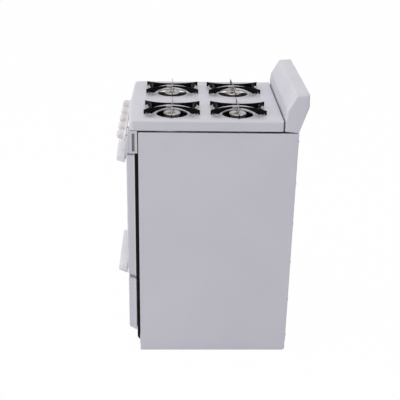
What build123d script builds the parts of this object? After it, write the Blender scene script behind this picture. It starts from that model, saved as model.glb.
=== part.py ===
"""Freestanding gas range, 508 mm wide, with four open burners, an oven and a broiler drawer.

Millimetres, +Z up. The origin is on the floor at the middle of the bounding box.
+X is the user's right as seen from the front, and the front faces -Y.
Depths are counted from the front edge of the cooktop with at(), so the whole range hangs on one line.
"""

import os
from math import hypot

from build123d import *

os.makedirs("parts", exist_ok=True)

# ---------------------------------------------------------------- driving sizes
body_width = 508.0
cooktop_height = 914.0
cooktop_depth = 525.0
backguard_seam = 4.0       # between the cooktop and the backguard
backguard_base = 49.0
backguard_overhang = 31.0  # how far the backguard stands behind the body
handle_reach = 54.0        # how far the door handle stands in front of the cooktop

sheet = 1.2                # pressed and enamelled steel
liner_sheet = 1.0          # oven liner and broiler box
running_gap = 0.3          # between pieces on different moving bodies
pin_clearance = 0.05       # radial, in hinges, sockets and stud holes

half_width = body_width / 2
inner_half = half_width - sheet
body_rear = cooktop_depth + backguard_seam + backguard_base
overall_depth = handle_reach + body_rear + backguard_overhang


def at(depth):
    """Y of a point that lies this far behind the cooktop's front edge."""
    return depth + handle_reach - overall_depth / 2


def block(x_low, x_high, depth_low, depth_high, z_low, z_high, mode=Mode.ADD):
    """A box between two X, two depths and two heights, in the builder that is open."""
    centre = ((x_low + x_high) / 2, at((depth_low + depth_high) / 2), (z_low + z_high) / 2)
    with Locations(centre):
        Box(x_high - x_low, depth_high - depth_low, z_high - z_low, mode=mode)


def rod(start, end, radius, mode=Mode.ADD):
    """A round bar from one (x, depth, z) point to another, in the builder that is open."""
    foot = Vector(start[0], at(start[1]), start[2])
    head = Vector(end[0], at(end[1]), end[2])
    with BuildSketch(Plane(origin=foot, z_dir=head - foot)) as section:
        Circle(radius)
    extrude(section.sketch, amount=(head - foot).length, mode=mode)


def side_profile(points, x_low, x_high, mode=Mode.ADD):
    """A straight-sided (depth, z) outline carried along X, in the builder that is open."""
    with BuildSketch(Plane.YZ.offset(x_low)) as section:
        with BuildLine():
            Polyline([(at(depth), z) for depth, z in points], close=True)
        make_face()
    extrude(section.sketch, amount=x_high - x_low, mode=mode)


def save(builder, name):
    """Label a finished piece and write its STEP file."""
    builder.part.label = name
    export_step(builder.part, f"parts/{name}.step")


# ---------------------------------------------------------------- shared heights and depths
lip_height = 37.0
lip_gap = 7.0
side_setback = 28.5
side_foot = 1.0
side_flange = 14.0
side_corner = 10.0
side_top = cooktop_height - lip_height - lip_gap

frame_depth = 8.5
frame_sheet = 1.5
frame_side_gap = 2.0
frame_bottom = 47.0
frame_bevel = 13.0
frame_top = 795.0
frame_front = side_setback - frame_depth
frame_half = half_width - frame_side_gap

oven_half = half_width - 51.0
door_hinge_height = 324.0
oven_low = door_hinge_height + 21.0
oven_high = 762.0
oven_back = body_rear - 72.0
broiler_half = half_width - 37.0
broiler_window_half = broiler_half - 2.0
broiler_low = 105.0
broiler_high = door_hinge_height - 24.0
base_height = 52.0
box_floor_height = 798.0

front_flange_back = side_setback + sheet
rear_flange_front = body_rear - sheet

# ---------------------------------------------------------------- side panels
# Shallow pans of enamelled steel with a flange turned in all round and a rounded lower rear corner.
for name, side in (("side_panel_left", -1), ("side_panel_right", 1)):
    with BuildPart() as side_panel:
        for inset, mode in ((0, Mode.ADD), (sheet, Mode.SUBTRACT)):
            with BuildSketch(Plane.YZ.offset(side * (half_width - inset))) as outline:
                with Locations((at((side_setback + body_rear) / 2), (side_foot + side_top) / 2)):
                    Rectangle(body_rear - side_setback - 2 * inset, side_top - side_foot - 2 * inset)
                low_rear = outline.vertices().sort_by(lambda corner: corner.X - corner.Y)[-1]
                fillet(low_rear, side_corner - inset)
            extrude(amount=-side * side_flange, mode=mode)
    save(side_panel, name)

# ---------------------------------------------------------------- front frame
# Black frame behind the door and the drawer, with a rim turned back round its edge and its windows.
door_hinge_depth = 0.0
door_pin_radius = 3.0
lug_inner = half_width - 34.0
lug_outer = half_width - 30.0
strap_inner = half_width - 38.0
strap_outer = half_width - 35.0
windows = (
    (oven_half, oven_low, oven_high),
    (broiler_window_half, broiler_low, broiler_high),
)
with BuildPart() as front_frame:
    for inset, start, depth, mode in (
        (0, frame_front, frame_depth, Mode.ADD),
        (frame_sheet, frame_front + frame_sheet, frame_depth, Mode.SUBTRACT),
    ):
        low = frame_bottom + (frame_bevel + inset if inset else 0)
        with BuildSketch(Plane.XZ.offset(-at(start))):
            with Locations((0, (low + frame_top - inset) / 2)):
                Rectangle(2 * (frame_half - inset), frame_top - inset - low)
            for half, window_low, window_high in windows:
                with Locations((0, (window_low + window_high) / 2)):
                    Rectangle(
                        2 * (half + inset),
                        window_high - window_low + 2 * inset,
                        mode=Mode.SUBTRACT,
                    )
        extrude(amount=-depth, mode=mode)
    front_low_edge = front_frame.edges().filter_by(Axis.X).group_by(Axis.Z)[0].sort_by(Axis.Y)[0]
    front_face = front_frame.faces().sort_by(Axis.Y)[0]
    chamfer(front_low_edge, length=frame_bevel, length2=frame_depth - running_gap, reference=front_face)
    for side in (-1, 1):
        inner, outer = sorted((side * lug_inner, side * lug_outer))
        block(inner, outer, door_hinge_depth - 4, frame_front + frame_sheet, door_hinge_height - 6,
              door_hinge_height + 6)
        rod((side * (strap_inner - 1), door_hinge_depth, door_hinge_height),
            (side * lug_outer, door_hinge_depth, door_hinge_height), door_pin_radius)
save(front_frame, "front_frame")

# ---------------------------------------------------------------- base pan and levelling feet
base_skirt = 25.0
foot_inset_x = 32.0
foot_front_depth = 62.0
foot_rear_depth = body_rear - 33.0
foot_pad_radius = 16.0
foot_pad_height = 7.0
foot_stud_radius = 4.0
foot_stud_top = base_height + 16.0
foot_boss_radius = 8.0
foot_boss_height = 12.0
foot_spots = {
    "foot_front_left": (-(half_width - foot_inset_x), foot_front_depth),
    "foot_front_right": (half_width - foot_inset_x, foot_front_depth),
    "foot_rear_left": (-(half_width - foot_inset_x), foot_rear_depth),
    "foot_rear_right": (half_width - foot_inset_x, foot_rear_depth),
}

with BuildPart() as base_pan:
    block(
        -inner_half,
        inner_half,
        front_flange_back,
        rear_flange_front,
        base_height - base_skirt,
        base_height,
    )
    block(
        -inner_half + sheet,
        inner_half - sheet,
        front_flange_back + sheet,
        rear_flange_front - sheet,
        base_height - base_skirt,
        base_height - sheet,
        mode=Mode.SUBTRACT,
    )
    for x, depth in foot_spots.values():
        rod((x, depth, base_height - foot_boss_height), (x, depth, base_height), foot_boss_radius)
    for x, depth in foot_spots.values():
        bore = foot_stud_radius + pin_clearance
        rod((x, depth, 0), (x, depth, base_height + 1), bore, mode=Mode.SUBTRACT)
save(base_pan, "base_pan")

for name, (x, depth) in foot_spots.items():
    with BuildPart() as foot:
        with BuildSketch():
            with Locations((x, at(depth))):
                RegularPolygon(foot_pad_radius, 6)
        extrude(amount=foot_pad_height)
        chamfer(foot.edges().group_by(Axis.Z)[-1], 2)
        rod((x, depth, foot_pad_height), (x, depth, foot_stud_top), foot_stud_radius)
    save(foot, name)

# ---------------------------------------------------------------- back panel
back_low = 40.0
back_edge = 4.0
inlet_x = half_width - 39.0
inlet_hole_radius = 17.0
manifold_height = 812.0
vent_slot = (64.0, 6.0)
vent_rows = (150.0, 190.0, 640.0, 680.0)
with BuildPart() as back_panel:
    with BuildSketch(Plane.XZ.offset(-at(body_rear))):
        with Locations((0, (back_low + side_top - 2) / 2)):
            Rectangle(2 * (half_width - back_edge), side_top - 2 - back_low)
        with Locations((inlet_x, manifold_height)):
            Circle(inlet_hole_radius, mode=Mode.SUBTRACT)
        for z in vent_rows:
            with Locations((0, z)):
                with GridLocations(vent_slot[0] * 1.4, 1, 4, 1):
                    SlotOverall(vent_slot[0], vent_slot[1], mode=Mode.SUBTRACT)
    extrude(amount=-sheet)
save(back_panel, "back_panel")

screw_head_radius = 4.0
screw_head_height = 2.2
screw_inset = 8.0
with BuildPart() as chassis_screws:
    with BuildSketch(Plane.XZ.offset(-at(body_rear + sheet))):
        for x in (-(half_width - screw_inset), half_width - screw_inset):
            for row in range(6):
                with Locations((x, back_low + 25 + row * (side_top - back_low - 55) / 5)):
                    Circle(screw_head_radius)
    extrude(amount=-screw_head_height)
    chamfer(chassis_screws.edges().filter_by(GeomType.CIRCLE).group_by(Axis.Y)[-1], 0.9)
save(chassis_screws, "chassis_screws")

# ---------------------------------------------------------------- oven liner, floor and insulation
liner_collar = 10.0
guide_levels = [oven_low + rise for rise in (60.0, 130.0, 200.0, 270.0)]
guide_depths = (45.0, oven_back - 16.0)
guide_reach = 7.0
guide_height = 8.0
floor_ledge = 12.0
flue_half = 66.0
flue_low = 700.0
flue_high = 748.0
liner_outer = oven_half + liner_sheet

with BuildPart() as oven_liner:
    block(-liner_outer, liner_outer, side_setback, oven_back + liner_sheet, oven_low, oven_high + liner_sheet)
    block(
        -liner_outer - liner_collar,
        liner_outer + liner_collar,
        side_setback,
        side_setback + liner_sheet,
        oven_low,
        oven_high + liner_sheet + liner_collar,
    )
    block(-oven_half, oven_half, side_setback - 1, oven_back, oven_low - 1, oven_high, mode=Mode.SUBTRACT)
    for side in (-1, 1):
        inner, outer = sorted((side * (oven_half - floor_ledge), side * (oven_half + liner_sheet / 2)))
        block(inner, outer, side_setback, oven_back + liner_sheet / 2, oven_low, oven_low + liner_sheet)
        for level in guide_levels:
            with BuildSketch(Plane.XZ.offset(-at(guide_depths[0]))):
                with BuildLine():
                    Polyline(
                        (side * (oven_half + liner_sheet / 2), level - guide_height),
                        (side * (oven_half + liner_sheet / 2), level),
                        (side * (oven_half - guide_reach), level),
                        (side * (oven_half - guide_reach), level - guide_height / 3),
                        close=True,
                    )
                make_face()
            extrude(amount=-(guide_depths[1] - guide_depths[0]))
    block(-flue_half, flue_half, oven_back - 1, oven_back + 2, flue_low, flue_high, mode=Mode.SUBTRACT)
save(oven_liner, "oven_liner")

floor_rim = 9.0
floor_side_gap = 1.5
floor_height = oven_low + liner_sheet
with BuildPart() as oven_floor:
    half = oven_half - floor_side_gap
    block(-half, half, side_setback + 2, oven_back - 1, floor_height, floor_height + floor_rim)
    block(
        -half + sheet,
        half - sheet,
        side_setback + 2 + sheet,
        oven_back - 1 - sheet,
        floor_height + sheet,
        floor_height + floor_rim + 1,
        mode=Mode.SUBTRACT,
    )
    with BuildSketch(Plane.XY.offset(floor_height)):
        for x in (-(half - 22), half - 22):
            with Locations((x, at((side_setback + oven_back) / 2))):
                with GridLocations(1, 72, 1, 6):
                    SlotOverall(56, 7, rotation=90)
    extrude(amount=sheet, mode=Mode.SUBTRACT)
save(oven_floor, "oven_floor")

insulation_half = half_width - 14.0
insulation_back = oven_back + 26.0
flue_collar = 1.0
with BuildPart() as oven_insulation:
    top = box_floor_height - sheet
    wrap = liner_outer + running_gap
    block(-insulation_half, insulation_half, front_flange_back, insulation_back, oven_low, top)
    block(-wrap, wrap, 0, oven_back + liner_sheet + running_gap, 0, oven_high + liner_sheet + running_gap,
          mode=Mode.SUBTRACT)
    block(-wrap - liner_collar, wrap + liner_collar, 0, side_setback + liner_sheet + running_gap + 1, 0,
          oven_high + liner_collar + 2 * liner_sheet, mode=Mode.SUBTRACT)
    block(-flue_half - flue_collar, flue_half + flue_collar, oven_back, insulation_back + 1,
          flue_low - flue_collar, flue_high + flue_collar, mode=Mode.SUBTRACT)
save(oven_insulation, "oven_insulation")

# ---------------------------------------------------------------- flue
duct_front = insulation_back + 3.0
duct_rear = duct_front + 32.0
duct_top = cooktop_height - 8.0
duct_low = flue_low - 10.0
with BuildPart() as flue_duct:
    half = flue_half + liner_sheet
    block(-half, half, duct_front, duct_rear, duct_low, duct_top)
    block(-flue_half, flue_half, duct_front + liner_sheet, duct_rear - liner_sheet, duct_low + liner_sheet,
          duct_top + 1, mode=Mode.SUBTRACT)
    collar = flue_half - running_gap
    block(
        -collar,
        collar,
        oven_back,
        duct_front + liner_sheet,
        flue_low + running_gap,
        flue_high - running_gap,
    )
    block(-collar + liner_sheet, collar - liner_sheet, oven_back - 1, duct_front + 5,
          flue_low + running_gap + liner_sheet, flue_high - running_gap - liner_sheet, mode=Mode.SUBTRACT)
save(flue_duct, "flue_duct")

# ---------------------------------------------------------------- broiler box with the drawer's guide rails
broiler_outer = broiler_half + liner_sheet
drawer_low = 112.0
guide_rail_height = 176.0
guide_rail_reach = 13.0
guide_rail_sheet = 1.5
with BuildPart() as broiler_box:
    block(-broiler_outer, broiler_outer, side_setback, oven_back + liner_sheet, base_height, oven_low)
    block(
        -broiler_half,
        broiler_half,
        side_setback - 1,
        oven_back,
        base_height - 1,
        oven_low + 1,
        mode=Mode.SUBTRACT,
    )
    for side in (-1, 1):
        inner, outer = sorted((side * (broiler_half - guide_rail_reach), side * (broiler_half + 0.5)))
        rail_low = guide_rail_height - guide_rail_sheet
        block(inner, outer, side_setback + 4, oven_back - 15, rail_low, guide_rail_height)
        inner, outer = sorted((side * (broiler_half - guide_rail_sheet), side * (broiler_half + 0.5)))
        block(inner, outer, side_setback + 4, oven_back - 15, guide_rail_height - 16, guide_rail_height)
save(broiler_box, "broiler_box")

# ---------------------------------------------------------------- oven burner and flame baffle
oven_burner_radius = 15.0
oven_burner_height = door_hinge_height - 11.0
burner_front = side_setback
with BuildPart() as oven_burner:
    rod((0, burner_front, oven_burner_height), (0, oven_back, oven_burner_height), oven_burner_radius)
    rod((0, burner_front + 8, oven_burner_height), (0, oven_back + 1, oven_burner_height),
        oven_burner_radius - 1.5, mode=Mode.SUBTRACT)
    for side in (-1, 1):
        with BuildSketch(Plane.YZ.offset(side * (oven_burner_radius + 1))):
            with Locations((at((burner_front + oven_back) / 2), oven_burner_height + 2)):
                with GridLocations(24, 1, 16, 1):
                    Rectangle(9, 2.2)
        extrude(amount=-side * 6, mode=Mode.SUBTRACT)
save(oven_burner, "oven_burner")

baffle_half = 88.0
baffle_rise = 20.0
baffle_height = oven_burner_height + baffle_rise
baffle_fall = 7.0
baffle_strap = 22.0
with BuildPart() as flame_baffle:
    with BuildSketch(Plane.XZ.offset(-at(side_setback + 30))):
        with BuildLine():
            Polyline(
                (-baffle_half, baffle_height - baffle_fall),
                (-baffle_half + 14, baffle_height),
                (baffle_half - 14, baffle_height),
                (baffle_half, baffle_height - baffle_fall),
                (baffle_half, baffle_height - baffle_fall + sheet),
                (baffle_half - 14, baffle_height + sheet),
                (-baffle_half + 14, baffle_height + sheet),
                (-baffle_half, baffle_height - baffle_fall + sheet),
                close=True,
            )
        make_face()
    extrude(amount=-(oven_back - side_setback - 60))
    for depth in (side_setback + 90, oven_back - 90):
        block(-broiler_half, broiler_half, depth - baffle_strap / 2, depth + baffle_strap / 2,
              baffle_height, baffle_height + sheet)
save(flame_baffle, "flame_baffle")

# ---------------------------------------------------------------- oven racks
# Wire racks that lie on the liner's guides; the outer wire rests on them.
rack_wire = 3.0
rack_bar = 2.0
rack_bar_lift = 2.8
rack_cross_wire = 2.4
rack_half = oven_half - 2.5
rack_front = side_setback + 22.0
rack_rear = oven_back - 28.0
rack_bars = 13
rack_corner = 12.0
for name, level in (("oven_rack_lower", guide_levels[0]), ("oven_rack_upper", guide_levels[2])):
    with BuildPart() as oven_rack:
        z = level + rack_wire + running_gap
        side_x = rack_half - rack_wire
        middle = (rack_front + rack_rear) / 2
        with BuildSketch(Plane.XY.offset(z), mode=Mode.PRIVATE) as rim:
            with Locations((0, at(middle))):
                RectangleRounded(2 * side_x, rack_rear - rack_front, rack_corner)
        with BuildSketch(Plane(origin=(0, at(rack_front), z), z_dir=(1, 0, 0)), mode=Mode.PRIVATE) as wire:
            Circle(rack_wire)
        sweep(wire.sketch, path=rim.sketch.face().outer_wire())
        step = 2 * side_x / (rack_bars + 1)
        for bar in range(1, rack_bars + 1):
            x = -side_x + bar * step
            rod((x, rack_front, z + rack_bar_lift), (x, rack_rear, z + rack_bar_lift), rack_bar)
        rod((-side_x, middle, z), (side_x, middle, z), rack_cross_wire)
    save(oven_rack, name)

# ---------------------------------------------------------------- burner box floor
# The floor carries the two burner rails, the cooktop's front rests and its hinge brackets.
top_sheet = 1.5
burner_depths = {"front": 145.0, "rear": cooktop_depth - 149.0}
rail_width = 14.0
rail_half = half_width - 59.0
rail_height = 829.4
rest_inner = half_width - 24.0
rest_outer = half_width - 16.0
rest_front = 24.0
rest_rear = 42.0
cooktop_underside = cooktop_height - top_sheet
hinge_inset = 7.0            # from the cooktop's rear edge
hinge_depth = cooktop_depth - hinge_inset
hinge_height = cooktop_height - 6.0
hinge_pin_radius = 2.5
hinge_cheek = 4.0
bracket_inner = half_width - 19.0
bracket_outer = half_width - 16.5
ear_inner = half_width - 22.5
ear_outer = half_width - 20.5
with BuildPart() as burner_box_floor:
    block(
        -inner_half,
        inner_half,
        front_flange_back,
        rear_flange_front,
        box_floor_height - sheet,
        box_floor_height,
    )
    half = flue_half + liner_sheet + 0.5
    block(-half, half, duct_front - 0.5, duct_rear + 0.5, box_floor_height - 5, box_floor_height + 5,
          mode=Mode.SUBTRACT)
    for depth in burner_depths.values():
        near, far = depth - rail_width / 2, depth + rail_width / 2
        block(-rail_half, rail_half, near, far, rail_height - sheet, rail_height)
        for x in (-rail_half, -sheet / 2, rail_half - sheet):
            block(x, x + sheet, near, far, box_floor_height - sheet / 2, rail_height)
    for side in (-1, 1):
        inner, outer = sorted((side * rest_inner, side * rest_outer))
        low = box_floor_height - sheet
        block(inner, outer, rest_front, rest_rear, low, box_floor_height)
        block(inner, outer, rest_front, rest_front + sheet, low, cooktop_underside - running_gap)
        block(inner, outer, rest_front, rest_front + 18, cooktop_underside - running_gap - sheet,
              cooktop_underside - running_gap)
        inner, outer = sorted((side * bracket_inner, side * bracket_outer))
        block(inner, outer, hinge_depth - 6, hinge_depth + hinge_cheek, low, hinge_height)
        rod((inner, hinge_depth, hinge_height), (outer, hinge_depth, hinge_height), hinge_cheek)
        pin_start = (side * (ear_inner - 1), hinge_depth, hinge_height)
        pin_end = (side * bracket_outer, hinge_depth, hinge_height)
        rod(pin_start, pin_end, hinge_pin_radius)
save(burner_box_floor, "burner_box_floor")

# ---------------------------------------------------------------- cooktop
# A pressed steel top, open underneath, with four square wells; each well has a raised ring round its opening.
cooktop_bow = 5.0
cooktop_corner = 18.0
cooktop_edge = 8.0
burner_x = half_width - 118.0
burner_sides = {"left": -burner_x, "right": burner_x}
well_half = 92.0
well_fall = 12.5
well_slope = 19.0
well_corner = 20.0
well_floor = cooktop_height - well_fall
floor_half = well_half - well_slope
ring_outer = 70.0
ring_opening = 55.0
ring_crest = 4.0
ring_wall = 8.5
notch_inner = half_width - 28.0
notch_outer = half_width - 13.0
lip_low = cooktop_height - lip_height
with BuildPart() as cooktop:
    for inset, top, mode in ((0, cooktop_height, Mode.ADD), (top_sheet, cooktop_underside, Mode.SUBTRACT)):
        half = half_width - inset
        with BuildSketch(Plane.XY.offset(lip_low if mode == Mode.ADD else lip_low - 1)) as plan:
            with BuildLine():
                ThreePointArc((-half, at(inset)), (0, at(inset - cooktop_bow)), (half, at(inset)))
                Polyline(
                    (half, at(inset)),
                    (half, at(cooktop_depth - inset)),
                    (-half, at(cooktop_depth - inset)),
                    (-half, at(inset)),
                )
            make_face()
            fillet(plan.vertices().group_by(Axis.Y)[0], cooktop_corner - inset)
        extrude(amount=top - (lip_low if mode == Mode.ADD else lip_low - 1), mode=mode)
        if mode == Mode.ADD:
            rim = cooktop.edges().group_by(Axis.Z)[-1]
            fillet(rim.sort_by(Axis.Y)[:-1], cooktop_edge)
    for depth in burner_depths.values():
        for x in burner_sides.values():
            for grow, mode in ((top_sheet, Mode.ADD), (0, Mode.SUBTRACT)):
                mouth_height = cooktop_height if mode == Mode.ADD else cooktop_height + 1
                mouth_half = well_half + grow + (mouth_height - cooktop_height) * well_slope / well_fall
                with BuildSketch(Plane(origin=(x, at(depth), mouth_height))) as mouth:
                    RectangleRounded(2 * mouth_half, 2 * mouth_half, well_corner)
                with BuildSketch(Plane(origin=(x, at(depth), well_floor - grow))) as bottom:
                    RectangleRounded(2 * floor_half + 2 * grow, 2 * floor_half + 2 * grow, well_corner)
                loft([mouth.sketch, bottom.sketch], ruled=True, mode=mode)
            rod((x, depth, well_floor - ring_wall - 1), (x, depth, cooktop_height + 5), ring_outer - 1,
                mode=Mode.SUBTRACT)
            with BuildSketch(Plane.XZ.offset(-at(depth))) as ring:
                with BuildLine():
                    Polyline(
                        (x + ring_opening, well_floor + 1.5),
                        (x + ring_opening, well_floor - ring_wall),
                        (x + ring_opening + top_sheet, well_floor - ring_wall),
                        (x + ring_opening + top_sheet, well_floor - 0.3),
                        (x + ring_opening + 7, well_floor + ring_crest - top_sheet),
                        (x + ring_outer, well_floor - top_sheet),
                        (x + ring_outer, well_floor),
                    )
                    ThreePointArc(
                        (x + ring_outer, well_floor),
                        (x + ring_opening + 7, well_floor + ring_crest),
                        (x + ring_opening, well_floor + 1.5),
                    )
                make_face()
            revolve(ring.sketch, axis=Axis((x, at(depth), 0), (0, 0, 1)))
    for side in (-1, 1):
        inner, outer = sorted((side * notch_inner, side * notch_outer))
        block(inner, outer, cooktop_depth - top_sheet - 1, cooktop_depth + 1, lip_low - 1, cooktop_underside,
              mode=Mode.SUBTRACT)
        inner, outer = sorted((side * ear_inner, side * ear_outer))
        block(inner, outer, hinge_depth - 6, hinge_depth + 6, hinge_height - 6, cooktop_underside + 0.2)
        rod((inner - 1, hinge_depth, hinge_height), (outer + 1, hinge_depth, hinge_height),
            hinge_pin_radius + pin_clearance, mode=Mode.SUBTRACT)
save(cooktop, "cooktop")

# ---------------------------------------------------------------- surface burners
# Aluminium castings: a mixer tube open at its mouth, a riser, a ported head and its cap.
tube_height = 842.0
tube_mouth = 50.0
tube_radius = 12.0
tube_bore = 10.0
riser_radius = 15.0
head_radius = 30.0
head_low = 884.0
head_high = 899.0
cap_edge = 5.0
cap_rise = 3.0
hub_radius = 9.5
hub_height = 924.0
flash_tube_radius = 4.0
flash_tube_height = head_low - 4.0
pilot_gap = 8.0
valve_of = {"front": 90.0, "rear": 180.0}
for row, depth in burner_depths.items():
    for hand, x in burner_sides.items():
        mouth_x = valve_of[row] if x > 0 else -valve_of[row]
        with BuildPart() as surface_burner:
            with BuildSketch(Plane.XZ.offset(-at(depth))):
                with BuildLine():
                    Polyline(
                        (x, rail_height),
                        (x + riser_radius, rail_height),
                        (x + riser_radius, head_low - 8),
                        (x + head_radius - 5, head_low),
                        (x + head_radius - 2, head_high),
                        (x + head_radius - 6, head_high),
                        (x + head_radius - 6, head_high + 1),
                        (x + head_radius, head_high + 1),
                        (x + head_radius, head_high + cap_edge),
                        (x + head_radius - 9, head_high + cap_edge + cap_rise),
                        (x + hub_radius, head_high + cap_edge + cap_rise),
                        (x + hub_radius - 1, hub_height),
                        (x, hub_height),
                        close=True,
                    )
                make_face()
            revolve(axis=Axis((x, at(depth), 0), (0, 0, 1)))
            rod((mouth_x, tube_mouth, tube_height), (x, depth, tube_height), tube_radius)
            middle = sum(burner_depths.values()) / 2
            end = middle - pilot_gap if row == "front" else middle + pilot_gap
            rod((x, depth, flash_tube_height), (x, end, flash_tube_height), flash_tube_radius)
            blend = 0.6 if row == "front" else 0.8
            inner_x = mouth_x + blend * (x - mouth_x)
            inner_end = (inner_x, tube_mouth + blend * (depth - tube_mouth), tube_height)
            rod((mouth_x, tube_mouth, tube_height), inner_end, tube_bore, mode=Mode.SUBTRACT)
        save(surface_burner, f"surface_burner_{row}_{hand}")

# ---------------------------------------------------------------- control panel and its end plates
panel_low = 797.0
panel_high = 872.0
panel_low_depth = -17.0
panel_high_depth = -4.0
panel_back = -2.5
knob_pitch = 90.0
knob_height = 835.0
stem_hole_radius = 7.0
panel_run = hypot(panel_high - panel_low, panel_high_depth - panel_low_depth)
outward = Vector(0, -(panel_high - panel_low) / panel_run, (panel_high_depth - panel_low_depth) / panel_run)
knob_depth = panel_low_depth + (knob_height - panel_low) * (panel_high_depth - panel_low_depth) / (
    panel_high - panel_low
)


def knob_plane(x, distance):
    """Plane square to the knob's axis at x, this far out from the panel's face; its Y is up the panel."""
    foot = Vector(x, at(knob_depth), knob_height) + outward * distance
    return Plane(origin=foot, x_dir=(1, 0, 0), z_dir=outward)


with BuildPart() as control_panel:
    side_profile(
        (
            (panel_low_depth, panel_low),
            (panel_back, panel_low),
            (panel_back, panel_high),
            (panel_high_depth, panel_high),
        ),
        -half_width,
        half_width,
    )
    side_profile(
        (
            (panel_low_depth + 1.45, panel_low + sheet),
            (panel_back + 1, panel_low + sheet),
            (panel_back + 1, panel_high - sheet),
            (panel_high_depth + 1.05, panel_high - sheet),
        ),
        -inner_half,
        inner_half,
        mode=Mode.SUBTRACT,
    )
    flange_half = inner_half - 1
    block(-flange_half, flange_half, panel_low_depth + 8, frame_front + 2, panel_low, panel_low + sheet)
    block(-flange_half, flange_half, panel_back - 1, frame_front + 2, panel_high - sheet, panel_high)
    for place in range(-2, 3):
        with BuildSketch(knob_plane(place * knob_pitch, 2)):
            Circle(stem_hole_radius)
        extrude(amount=-6, mode=Mode.SUBTRACT)
save(control_panel, "control_panel")

end_front = -2.2
end_rear = side_setback - 1.0
end_high = 875.0
slot_front = 9.0
slot_rear = 18.5
slot_low = 802.0
slot_high = 866.0
with BuildPart() as panel_ends:
    for side in (-1, 1):
        inner, outer = sorted((side * inner_half, side * half_width))
        block(inner, outer, end_front, end_rear, frame_top, end_high)
        block(inner - 1, outer + 1, slot_front, slot_rear, slot_low, slot_high, mode=Mode.SUBTRACT)
        inner, outer = sorted((side * (inner_half - 8), side * inner_half))
        block(inner, outer, end_front, end_rear, frame_top, frame_top + sheet)
        block(inner, outer, end_front, end_rear, end_high - sheet, end_high)
save(panel_ends, "panel_ends")

# ---------------------------------------------------------------- gas manifold, regulator, valves
manifold_depth = 24.0
manifold_end = half_width - 49.0
manifold_radius = 10.5
inlet_bore = 9.3
inlet_bore_length = 22.0
inlet_end = body_rear + 5.0
with BuildPart() as manifold_pipe:
    corner = (inlet_x, manifold_depth, manifold_height)
    rod((-manifold_end, manifold_depth, manifold_height), corner, manifold_radius)
    rod((inlet_x, manifold_depth, manifold_height), (inlet_x, inlet_end, manifold_height), manifold_radius)
    with Locations((inlet_x, at(manifold_depth), manifold_height)):
        Sphere(manifold_radius + 3)
    rod((inlet_x, inlet_end - inlet_bore_length, manifold_height), (inlet_x, inlet_end, manifold_height),
        manifold_radius + 3)
    rod((inlet_x, inlet_end - inlet_bore_length, manifold_height), (inlet_x, inlet_end + 1, manifold_height),
        inlet_bore, mode=Mode.SUBTRACT)
save(manifold_pipe, "manifold_pipe")

regulator_radius = 18.0
regulator_depth = 86.0
with BuildPart() as regulator:
    rod((inlet_x, regulator_depth, manifold_height - 13), (inlet_x, regulator_depth, manifold_height + 13),
        regulator_radius)
    rod((inlet_x, regulator_depth, manifold_height + 13), (inlet_x, regulator_depth, manifold_height + 22), 9)
    rod((inlet_x, regulator_depth - 30, manifold_height), (inlet_x, regulator_depth + 30, manifold_height),
        manifold_radius + pin_clearance, mode=Mode.SUBTRACT)
save(regulator, "pressure_regulator")

stem_radius = 3.0
stem_flat = 2.0
stem_inner = -40.0
stem_outer = 24.0
stem_flat_from = 1.0
valve_front = -12.0
valve_rear = -44.0
stem_bore_end = stem_inner - 0.6
nozzle_radius = 3.5
nozzle_front = 30.0
nozzle_block = 38.0
nozzle_end = 56.0
places = ("left_rear", "left_front", "oven", "right_front", "right_rear")
for index, place in enumerate(places):
    x = (index - 2) * knob_pitch
    barrel_radius = 13.0 if place == "oven" else 8.0
    leg_half = 4.0
    with BuildPart() as valve:
        with BuildSketch(knob_plane(x, valve_rear)):
            Circle(barrel_radius)
        extrude(amount=valve_front - valve_rear)
        leg_top = knob_height - 4
        block(x - leg_half, x + leg_half, manifold_depth - 5, manifold_depth + 4, manifold_height, leg_top)
        if place != "oven":
            block(x - 5, x + 5, nozzle_front - 4, nozzle_block, knob_height - 12, tube_height + 5)
            rod((x, nozzle_block - 1, tube_height), (x, nozzle_end, tube_height), nozzle_radius)
        rod((x - 20, manifold_depth, manifold_height), (x + 20, manifold_depth, manifold_height),
            manifold_radius + pin_clearance, mode=Mode.SUBTRACT)
        with BuildSketch(knob_plane(x, stem_bore_end)):
            Circle(stem_radius + pin_clearance)
        extrude(amount=valve_front - stem_bore_end + 1, mode=Mode.SUBTRACT)
    save(valve, "oven_thermostat" if place == "oven" else f"gas_valve_{place}")

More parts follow.
